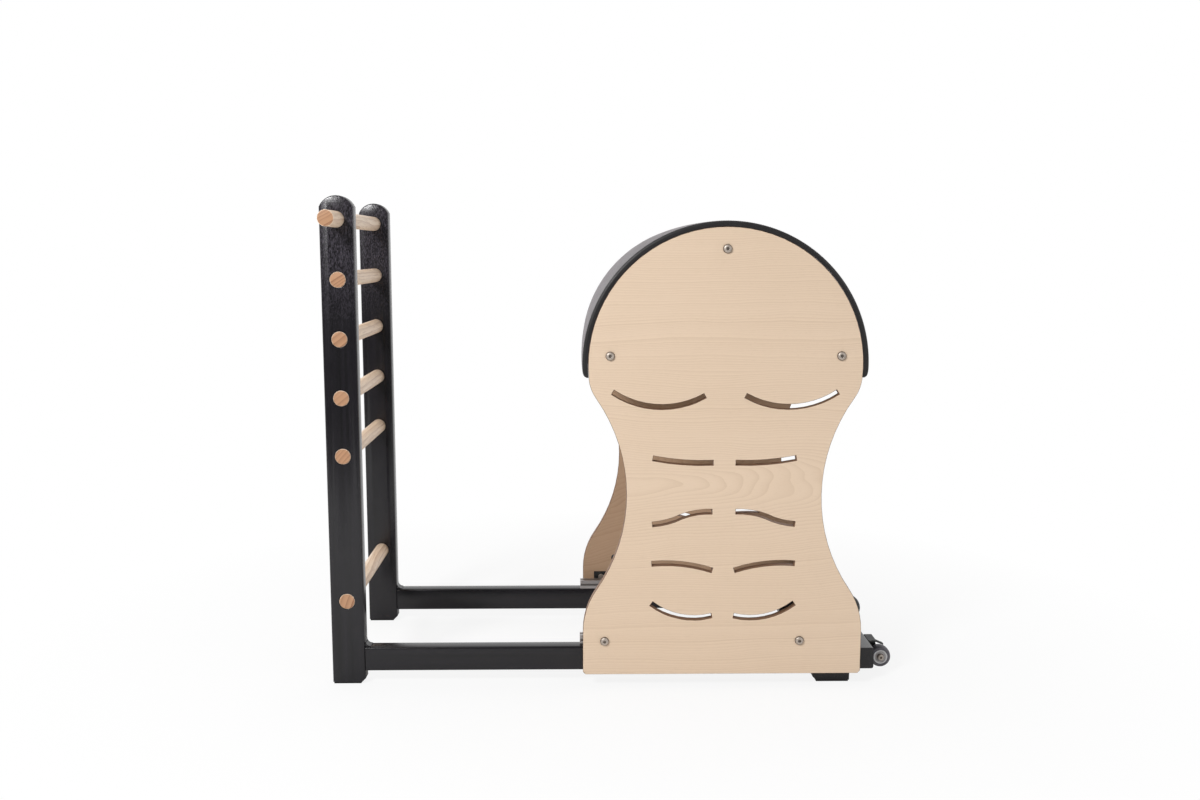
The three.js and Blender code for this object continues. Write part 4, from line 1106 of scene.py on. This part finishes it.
def fastener_tree(name, outline):
    """Rows of outline: share of head radius, of shank radius, of head height, of shank length,
    how six-sided the row is, and how much painted shade darkens it, in recesses, bores and under
    rims. They run evenly along the outline."""
    sizes = {"Head Radius": 0.01, "Head Height": 0.005}
    sizes.update({"Shank Radius": 0.004, "Shank Length": 0.03})
    tree, entry, result = geometry_tree(name, sizes)
    rows = len(outline)
    size = {"Size X": 1.0, "Size Y": 1.0, "Vertices X": GRID_COLUMNS, "Vertices Y": rows}
    grid = add_node(tree, "GeometryNodeMeshGrid", size).outputs["Mesh"]
    place = add_node(tree, "GeometryNodeInputPosition").outputs[0]
    parts = add_node(tree, "ShaderNodeSeparateXYZ", {0: place}).outputs
    angle = calc(tree, "MULTIPLY", calc(tree, "ADD", parts["X"], 0.5), 2 * math.pi)
    share = calc(tree, "ADD", parts["Y"], 0.5)
    steps = [i / (rows - 1) for i in range(rows)]
    curves = [shape_curve(tree, share, list(zip(steps, column))) for column in zip(*outline)]
    # the last curve is the painted shade: darker in recesses, bores and under rims
    head, shank, height, length, six, painted_shade_share = curves
    plain = calc(tree, "MULTIPLY", head, entry["Head Radius"])
    plain = calc(tree, "ADD", plain, calc(tree, "MULTIPLY", shank, entry["Shank Radius"]))
    radius = calc(tree, "MULTIPLY", plain, mix_number(tree, six, 1.0, hexagon_factor(tree, angle)))
    up = calc(tree, "MULTIPLY", height, entry["Head Height"])
    up = calc(tree, "SUBTRACT", up, calc(tree, "MULTIPLY", length, entry["Shank Length"]))
    marked = stored(tree, stored(tree, grid, "axis_distance", plain), "painted_shade", painted_shade_share)
    where = place_of(tree, radius, up, angle)
    moved = {"Geometry": marked, "Position": where}
    wrapped = add_node(tree, "GeometryNodeSetPosition", moved).outputs[0]
    closed = {"Geometry": wrapped, "Distance": 1e-6}
    shape = add_node(tree, "GeometryNodeMergeByDistance", closed).outputs[0]
    finish_tree(tree, entry, result, shape)
    return tree


print("fastener tree ready")

# %% [markdown]
# Two outlines are enough. The domed bolt has a shallow six-sided recess and a dark line under
# its rim, both painted shade, and small screws are the same in other sizes. The nut is six-sided
# outside and round inside, with painted shade in its bore and under it. Every outline has sixteen
# steps, because the curves are read from a table of 256 entries, and so each corner falls
# exactly on one of them.

# %% Outlines of bolts, nuts and screws
DOMED_BOLT = (
    (0.00, 0, 0.50, 0, 1, 0.6),
    (0.33, 0, 0.52, 0, 1, 0.8),
    (0.34, 0, 0.70, 0, 1, 0.9),
    (0.35, 0, 0.92, 0, 1, 0.6),
    (0.42, 0, 0.995, 0, 0.3, 0),
    (0.54, 0, 0.97, 0, 0, 0),
    (0.66, 0, 0.91, 0, 0, 0),
    (0.78, 0, 0.80, 0, 0, 0.1),
    (0.88, 0, 0.64, 0, 0, 0.4),
    (0.95, 0, 0.42, 0, 0, 0.7),
    (0.99, 0, 0.22, 0, 0, 0.85),
    (1.00, 0, 0.08, 0, 0, 1),
    (0.985, 0, 0.00, 0, 0, 1),
    (0.00, 1, 0.00, 0, 0, 0.8),
    (0.00, 1, 0.00, 0.96, 0, 0.3),
    (0.00, 0.8, 0.00, 1, 0, 0.3),
    (0.00, 0, 0.00, 1, 0, 0.3),
)
NUT = (
    (0.55, 0, 0.08, 0, 0, 0.6),
    (0.62, 0, 0.00, 0, 0, 0.4),
    (0.75, 0, 0.00, 0, 0, 0.3),
    (0.90, 0, 0.00, 0, 0, 0.3),
    (0.97, 0, 0.06, 0, 0.6, 0.1),
    (1.00, 0, 0.14, 0, 1, 0),
    (1.00, 0, 0.38, 0, 1, 0),
    (1.00, 0, 0.62, 0, 1, 0),
    (1.00, 0, 0.86, 0, 1, 0),
    (0.97, 0, 0.94, 0, 0.6, 0),
    (0.89, 0, 1.00, 0, 0, 0),
    (0.75, 0, 1.00, 0, 0, 0),
    (0.62, 0, 1.00, 0, 0, 0.2),
    (0.55, 0, 0.92, 0, 0, 0.6),
    (0.55, 0, 0.65, 0, 0, 0.8),
    (0.55, 0, 0.35, 0, 0, 0.8),
    (0.55, 0, 0.08, 0, 0, 0.6),
)
print("outline rows", len(DOMED_BOLT), len(NUT))

# %% [markdown]
# Ten M8 bolts hold the barrel together: three go through each panel into the battens, and two
# into the brackets below, with a nut behind. They stand where the CAD has its plain bolts, so
# the places are read from those nodes. One small dark screw sits inside each panel.

# %% Place the bolts, nuts and screws
HEAD_HEIGHT = 0.005
PANEL_FACE = 0.2471
BRACKET_NUT_SEAT = 0.2232
PANEL_SCREW_X, PANEL_INSIDE, PANEL_SCREW_Z = 0.009, 0.2286, 0.145


def fasten(name, tree, places, body, nodes=(), **values):
    sizes = {label.replace("_", " ").title(): value for label, value in values.items()}
    run_tree(tree, name, point_host(places), sizes, body, "bolt_steel", *nodes)


def bolts_through_panel(kind, rows):
    """The CAD nodes of one kind, the places of their heads, and how far their shanks reach."""
    nodes, places = [], []
    for side_name, side in SIDES:
        for row in rows:
            nodes.append(f"{kind}_bolt_{row}_{side_name}")
            low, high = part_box(nodes[-1])
            middle = (low + high) / 2
            places.append(((middle.x, side * PANEL_FACE, middle.z), (0, side, 0)))
    return nodes, places, high.y - low.y - HEAD_HEIGHT


domed_bolt = fastener_tree("domed_bolt", DOMED_BOLT)
hex_nut = fastener_tree("hex_nut", NUT)
panel_bolts = {}
for kind, rows in (("batten", ("top", "front", "rear")), ("bracket", ("front", "rear"))):
    nodes, panel_bolts[kind], reach = bolts_through_panel(kind, rows)
    fasten(
        f"{kind}_bolts", domed_bolt, panel_bolts[kind], "carriage", nodes, head_radius=0.0092,
        head_height=HEAD_HEIGHT, shank_radius=0.004, shank_length=reach, finish=steel,
    )
nut_places, screw_places = [], []
for (x, _, z), (_, side, _) in panel_bolts["bracket"]:
    nut_places.append(((x, side * BRACKET_NUT_SEAT, z), (0, -side, 0)))
fasten(
    "bracket_nuts", hex_nut, nut_places, "carriage",
    head_radius=0.0075, head_height=0.0062, finish=steel,
)
for _, side in SIDES:
    screw_places.append(((PANEL_SCREW_X, side * PANEL_INSIDE, PANEL_SCREW_Z), (0, -side, 0)))
fasten(
    "panel_screws", domed_bolt, screw_places, "carriage", head_radius=0.008, head_height=0.0035,
    shank_radius=0.0025, shank_length=0.012, finish=powder_coat,
)
for kind, places in panel_bolts.items():
    print(len(places), kind, "bolts")
print(len(nut_places), "nuts,", len(screw_places), "screws")

# %% [markdown]
# The frame is bolted too. Two bolts hold each upright and each end of the crossbar to the rails,
# and their heads are sunk in counterbores. A wheel turns on a bolt with a nut on the inner side
# of its bracket, and two small screws hold the bracket's plate to the crossbar. Only the axle
# bolts have a node in the CAD, so the places of the others are given here as numbers.

# %% Fasteners of the frame and the wheels
AXLE_NUT_SEAT = 0.1436
RAIL_MIDDLE = 0.2046
COUNTERBORES = ((-0.5786, -1), (0.5289, 1))  # place along the rail and way out
FRAME_BOLT_HEIGHTS = (0.03915, 0.06115)
PLATE_FACE, PLATE_MIDDLE = 0.5411, 0.1372
PLATE_SCREW_HEIGHTS = (0.0425, 0.0585)

axle_places, axle_nuts, axle_nodes, frame_places, plate_places = [], [], [], [], []
for side_name, side in SIDES:
    axle_nodes.append(f"axle_bolt_{side_name}")
    low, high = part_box(axle_nodes[-1])
    middle = (low + high) / 2
    axle_reach = high.y - low.y - HEAD_HEIGHT
    outer = max(abs(low.y), abs(high.y)) - HEAD_HEIGHT
    axle_places.append(((middle.x, side * outer, middle.z), (0, side, 0)))
    axle_nuts.append(((middle.x, side * AXLE_NUT_SEAT, middle.z), (0, -side, 0)))
    for height in FRAME_BOLT_HEIGHTS:
        for along, out in COUNTERBORES:
            frame_places.append(((along, side * RAIL_MIDDLE, height), (out, 0, 0)))
    for height in PLATE_SCREW_HEIGHTS:
        plate_places.append(((PLATE_FACE, side * PLATE_MIDDLE, height), (1, 0, 0)))
fasten(
    "axle_bolts", domed_bolt, axle_places, "frame", axle_nodes, head_radius=0.0075,
    head_height=HEAD_HEIGHT, shank_radius=0.004, shank_length=axle_reach, finish=steel,
)
fasten(
    "axle_nuts", hex_nut, axle_nuts, "frame", head_radius=0.0075, head_height=0.006, finish=steel
)
fasten(
    "frame_bolts", domed_bolt, frame_places, "frame", head_radius=0.0065, head_height=0.0045,
    shank_radius=0.003, shank_length=0.012, finish=steel,
)
fasten(
    "wheel_plate_screws", domed_bolt, plate_places, "frame", head_radius=0.0046,
    head_height=0.0026, shank_radius=0.002, shank_length=0.01, finish=steel,
)
print(len(axle_places), "axles,", len(frame_places), "frame bolts,", len(plate_places), "screws")

# %% [markdown]
# The lock studs are the one visible thread. A bump could draw it, but its outline would stay
# straight. So a spiral curve with a small three-sided section is laid round a plain core, at the
# pitch of the real screw.


# %% Threaded studs
STUD_RADIUS = 0.004
THREAD_PITCH = 0.00125
THREAD_DEPTH_SHARE = 0.55
# the whole stud is darkened a little by the same painted shade
STUD_SHADE = 0.35


def stud_tree():
    sizes = {"Radius": STUD_RADIUS, "Length": 0.05, "Pitch": THREAD_PITCH}
    tree, entry, result = geometry_tree("threaded_stud", sizes)
    depth = calc(tree, "MULTIPLY", entry["Pitch"], THREAD_DEPTH_SHARE)
    root = calc(tree, "SUBTRACT", entry["Radius"], depth)
    height = calc(tree, "SUBTRACT", entry["Length"], calc(tree, "MULTIPLY", entry["Pitch"], 2.0))
    turns = calc(tree, "DIVIDE", height, entry["Pitch"])
    spiral = {"Resolution": 20, "Rotations": turns, "Start Radius": root, "End Radius": root}
    path = add_node(tree, "GeometryNodeCurveSpiral", {**spiral, "Height": height}).outputs[0]
    upright = add_node(tree, "GeometryNodeSetCurveNormal", {"Curve": path}, mode="Z_UP")
    ridge = {"Resolution": 3, "Radius": depth}
    section = add_node(tree, "GeometryNodeCurvePrimitiveCircle", ridge).outputs[0]
    swept = {"Curve": upright.outputs[0], "Profile Curve": section, "Fill Caps": True}
    thread = add_node(tree, "GeometryNodeCurveToMesh", swept).outputs[0]
    lifted = add_node(tree, "ShaderNodeCombineXYZ", {"Z": entry["Pitch"]}).outputs[0]
    raised_thread = {"Geometry": thread, "Translation": lifted}
    thread = add_node(tree, "GeometryNodeTransform", raised_thread).outputs[0]
    core_size = {"Vertices": 24, "Radius": root, "Depth": entry["Length"]}
    core = add_node(tree, "GeometryNodeMeshCylinder", core_size).outputs["Mesh"]
    middle = calc(tree, "MULTIPLY", entry["Length"], 0.5)
    centre = add_node(tree, "ShaderNodeCombineXYZ", {"Z": middle}).outputs[0]
    core = add_node(
        tree, "GeometryNodeTransform", {"Geometry": core, "Translation": centre}
    ).outputs[0]
    both = tree.nodes.new("GeometryNodeJoinGeometry")
    tree.links.new(core, both.inputs[0])
    tree.links.new(thread, both.inputs[0])
    measured = stored(tree, both.outputs[0], "axis_distance", STUD_RADIUS)
    finish_tree(tree, entry, result, stored(tree, measured, "painted_shade", STUD_SHADE))
    return tree


threaded_stud = stud_tree()
for side_name, _ in SIDES:
    low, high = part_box(f"lock_stud_{side_name}")
    middle = (low + high) / 2
    fasten(
        f"lock_thread_{side_name}", threaded_stud, [((middle.x, middle.y, low.z), (0, 0, 1))],
        f"lock_knob_{side_name}", [f"lock_stud_{side_name}"],
        radius=(high.x - low.x) / 2, length=high.z - low.z, pitch=THREAD_PITCH, finish=steel,
    )
print("studs", round((high.z - low.z) * 1000, 1), "mm long")

# %% [markdown]
# ## The pad
# The pad is a thin layer of foam bent over the barrel and boxed in vinyl: a crown panel on top,
# a narrow band round the side and a seam where the two meet. It could be a bent box, but real
# vinyl swells a little between its seams. So the mesh starts as a slightly smaller lattice box
# with rounded upper edges. The box is thinned at its two ends, where the cover is pulled down
# and tacked, and wrapped round the barrel.

# %% Lattice of the pad
BARREL_CENTRE = Vector((0.21715, 0.0, 0.6645))
PAD_INNER, PAD_THICK, PAD_CROWN, PAD_ROUND = 0.2744, 0.0113, 0.0022, 0.005
PAD_HALF_WIDTH = 0.2464
PAD_TAPER, PAD_TAPER_DEPTH = 0.015, 0.9
PAD_PITCH = 0.0085
EDGE_ROW, BAND_ROW = 0.004, 0.0032  # extra rows beside and below the rounded edges
HELD_ROWS = 3
CORNER_RISES = [PAD_ROUND * math.tan(math.radians(angle)) for angle in (0, 14, 28, 41, 45)]
PAD_START, PAD_END = math.radians(-5.02), math.radians(185.02)
PAD_LENGTH = (PAD_END - PAD_START) * (PAD_INNER + PAD_THICK)


def lattice_steps(length):
    """Places along one side: close together in the two rounded corners, even between them."""
    corner = [PAD_ROUND - rise for rise in reversed(CORNER_RISES)]
    margin = PAD_ROUND + EDGE_ROW
    inner = length - 2 * margin
    count = round(inner / PAD_PITCH)
    middle = [margin + inner * i / count for i in range(count + 1)]
    return corner + middle + [length - d for d in reversed(corner)]


def wrap_pad_point(across, height, along):
    """Rounds the box's upper edges, thins its two ends, adds the crown and bends it."""
    point = np.array((across, height, along))
    low = np.array((PAD_ROUND - PAD_HALF_WIDTH, 0.0, PAD_ROUND))
    high = np.array((PAD_HALF_WIDTH - PAD_ROUND, PAD_THICK - PAD_ROUND, PAD_LENGTH - PAD_ROUND))
    core = np.clip(point, low, high)
    core[1] = min(height, high[1])
    away = point - core
    reach = np.linalg.norm(away)
    if reach > 1e-9:
        point = core + away * (PAD_ROUND / reach)
    bulge = PAD_CROWN * (1 - (across / PAD_HALF_WIDTH) ** 2) * height / PAD_THICK
    ending = max(0.0, 1 - min(point[2], PAD_LENGTH - point[2]) / PAD_TAPER)
    fullness = math.sqrt(1 - (PAD_TAPER_DEPTH * ending) ** 2)
    angle = PAD_START + point[2] / (PAD_INNER + PAD_THICK)
    radius = PAD_INNER + (point[1] + bulge) * fullness
    x = BARREL_CENTRE.x + radius * math.cos(angle)
    return Vector((x, point[0], BARREL_CENTRE.z + radius * math.sin(angle)))


def pad_mesh():
    wide = [w - PAD_HALF_WIDTH for w in lattice_steps(2 * PAD_HALF_WIDTH)]
    long = lattice_steps(PAD_LENGTH)
    tall = [0.0, BAND_ROW] + [PAD_THICK - PAD_ROUND + rise for rise in CORNER_RISES]
    last = (len(wide) - 1, len(tall) - 1, len(long) - 1)
    shape = bmesh.new()
    held = shape.verts.layers.float.new("held")
    seam = shape.verts.layers.float.new("seam")
    made = {}
    for i, j, k in np.ndindex(len(wide), len(tall), len(long)):
        if i in (0, last[0]) or j in (0, last[1]) or k in (0, last[2]):
            vertex = shape.verts.new(wrap_pad_point(wide[i], tall[j], long[k]))
            on_rim = i in (0, last[0]) or k in (0, last[2])
            vertex[held] = 1.0 if j < HELD_ROWS else 0.0
            vertex[seam] = 1.0 if j == last[1] and on_rim else 0.0
            made[i, j, k] = vertex
    for axis in range(3):
        u, v = [a for a in range(3) if a != axis]
        for end in (0, last[axis]):
            for a, b in np.ndindex(last[u], last[v]):
                corners = []
                for da, db in ((0, 0), (1, 0), (1, 1), (0, 1)):
                    key = [0, 0, 0]
                    key[axis], key[u], key[v] = end, int(a) + da, int(b) + db
                    corners.append(made[tuple(key)])
                shape.faces.new(corners)
    bmesh.ops.recalc_face_normals(shape, faces=shape.faces)
    for face in shape.faces:
        face.smooth = True
    mesh = bpy.data.meshes.new("pad_vinyl_cover")
    shape.to_mesh(mesh)
    shape.free()
    return mesh


pad = link_piece("pad_vinyl_cover", pad_mesh())
print("pad lattice", len(pad.data.vertices), "points")

# %% [markdown]
# The swelling could be drawn by a formula, but a cloth simulation finds by itself where vinyl
# can give and where it is held. Its underside and the foot of the band are pinned, air pressure
# pushes the rest out, and how far a point may move is capped, because foam fills the cover and
# keeps it from blowing up. The modifier is removed again and only the new places are kept.


# %% Swell the pad
PAD_SWELL = 0.0022
SWELL_FRAMES = 16
AIR_PRESSURE = 4


def read_points(mesh):
    points = np.empty(len(mesh.vertices) * 3, dtype=np.float32)
    mesh.vertices.foreach_get("co", points)
    return points.reshape(-1, 3)


def write_points(mesh, points):
    mesh.vertices.foreach_set("co", points.astype(np.float32).ravel())
    mesh.update()


def swell_pad(piece):
    held = np.array([item.value for item in piece.data.attributes["held"].data])
    group = piece.vertex_groups.new(name="held")
    group.add([int(i) for i in np.nonzero(held > 0.5)[0]], 1.0, "REPLACE")
    cloth = piece.modifiers.new("air", "CLOTH")
    cloth.settings.use_pressure = True
    cloth.settings.uniform_pressure_force = AIR_PRESSURE
    cloth.settings.vertex_group_mass = "held"
    cloth.settings.effector_weights.gravity = 0
    cloth.settings.quality = 4
    cloth.collision_settings.use_collision = False
    before = read_points(piece.data)
    scene = bpy.context.scene
    for number in range(1, SWELL_FRAMES + 1):
        scene.frame_set(number)
    graph = bpy.context.evaluated_depsgraph_get()
    swollen = bpy.data.meshes.new_from_object(piece.evaluated_get(graph))
    moved = read_points(swollen) - before
    piece.modifiers.remove(cloth)
    scene.frame_set(1)
    reach = np.linalg.norm(moved, axis=1, keepdims=True)
    capped = PAD_SWELL * np.tanh(reach / PAD_SWELL) / np.maximum(reach, 1e-9)
    write_points(piece.data, before + moved * capped)
    return float(reach.max())


print("pad swells by up to", round(swell_pad(pad) * 1000, 2), "mm before the cap")

# %% [markdown]
# The seam between crown and band pulls the vinyl in by nearly a millimetre. The lattice knows
# its seam points, so they are moved inwards along their normals. A subdivision then rounds the
# whole cover, and a finished pad stands in for the CAD's cover and foam.


# %% Press in the seam and finish the pad
SEAM_DEPTH = 0.0009


def press_seam(mesh, depth):
    seam = np.array([item.value for item in mesh.attributes["seam"].data])
    normals = np.empty(len(mesh.vertices) * 3, dtype=np.float32)
    mesh.vertices.foreach_get("normal", normals)
    write_points(mesh, read_points(mesh) - normals.reshape(-1, 3) * seam[:, None] * depth)


press_seam(pad.data, SEAM_DEPTH)
smoothing = pad.modifiers.new("rounder", "SUBSURF")
smoothing.levels = smoothing.render_levels = 1
graph = bpy.context.evaluated_depsgraph_get()
round_pad = bpy.data.meshes.new_from_object(pad.evaluated_get(graph))
pad.modifiers.remove(smoothing)
pad.data = round_pad
pad.data.materials.clear()
pad.data.materials.append(vinyl)
settle(pad, "carriage", "pad_vinyl", "pad_cover", "pad_foam")
print("pad", len(pad.data.polygons), "faces")

# %% [markdown]
# The crown panel is sewn to the band with a visible row of stitches beside the seam. A path is
# found on the finished pad by looking down on it from outside, which works however the cloth
# has swollen, and a small tree sets one short stitch every few millimetres along the path.


# %% Stitches
STITCH_SIZES = {"Pitch": 0.0046, "Stitch Length": 0.0033, "Thread": 0.0007}
SEAM_INSET, SEAM_MARGIN = 0.0085, 0.035  # metres from the side, radians from the ends
SEAM_STEPS = 240
OUTSIDE_PAD = 0.33  # radius from which the search looks down on the pad


def stitch_tree():
    tree, entry, result = geometry_tree("stitches", STITCH_SIZES)
    path = add_node(tree, "GeometryNodeMeshToCurve", {0: entry["Geometry"]}).outputs[0]
    pitch = {"Curve": path, "Length": entry["Pitch"]}
    even = add_node(tree, "GeometryNodeResampleCurve", pitch, mode="LENGTH")
    along = add_node(tree, "GeometryNodeInputTangent").outputs[0]
    turn = add_node(tree, "FunctionNodeAlignRotationToVector", {"Vector": along}, axis="X")
    bead = add_node(
        tree, "GeometryNodeMeshUVSphere", {"Segments": 8, "Rings": 5, "Radius": 0.5}
    ).outputs["Mesh"]
    size = {"X": entry["Stitch Length"], "Y": entry["Thread"], "Z": entry["Thread"]}
    scale = add_node(tree, "ShaderNodeCombineXYZ", size).outputs[0]
    stretched_bead = {"Geometry": bead, "Scale": scale}
    stitch = add_node(tree, "GeometryNodeTransform", stretched_bead).outputs[0]
    copies = real_copies(tree, even.outputs[0], stitch, turn.outputs[0])
    end_tree(tree, entry, result, copies)
    return tree


def seam_path():
    """Points on the pad's crown, beside both side seams."""
    surface = BVHTree.FromPolygons(
        [v.co for v in pad.data.vertices], [tuple(p.vertices) for p in pad.data.polygons]
    )
    points, lines = [], []
    sweep = PAD_END - PAD_START - 2 * SEAM_MARGIN
    for _, side in SIDES:
        first = len(points)
        across = Vector((0, side * (PAD_HALF_WIDTH - SEAM_INSET), 0))
        for i in range(SEAM_STEPS + 1):
            angle = PAD_START + SEAM_MARGIN + sweep * i / SEAM_STEPS
            out = Vector((math.cos(angle), 0, math.sin(angle)))
            start = BARREL_CENTRE + out * OUTSIDE_PAD + across
            points.append(surface.ray_cast(start, -out)[0])
            if i:
                lines.append((first + i - 1, first + i))
    return points, lines


points, lines = seam_path()
path_mesh = bpy.data.meshes.new("seam_path")
path_mesh.from_pydata(points, lines, [])
thread_finish = dark_moulding(
    "stitch_thread", paint(30, 30, 32), paint(66, 65, 69), 0.7, 2600, 0.00003
)
path_host = link_piece("seam_path", path_mesh)
values = {**STITCH_SIZES, "Finish": thread_finish}
stitches = run_tree(stitch_tree(), "pad_stitches", path_host, values, "carriage", "pad_vinyl")
print("stitch faces", len(stitches.polygons))

# %% [markdown]
# ## Close the lesson
# The box of everything dressed is measured and printed. The dressed model has to stay
# inside the frame's box.

# %% Sizes and finish
low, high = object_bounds()
print("visual box", [round(v, 4) for v in (*low, *high)])
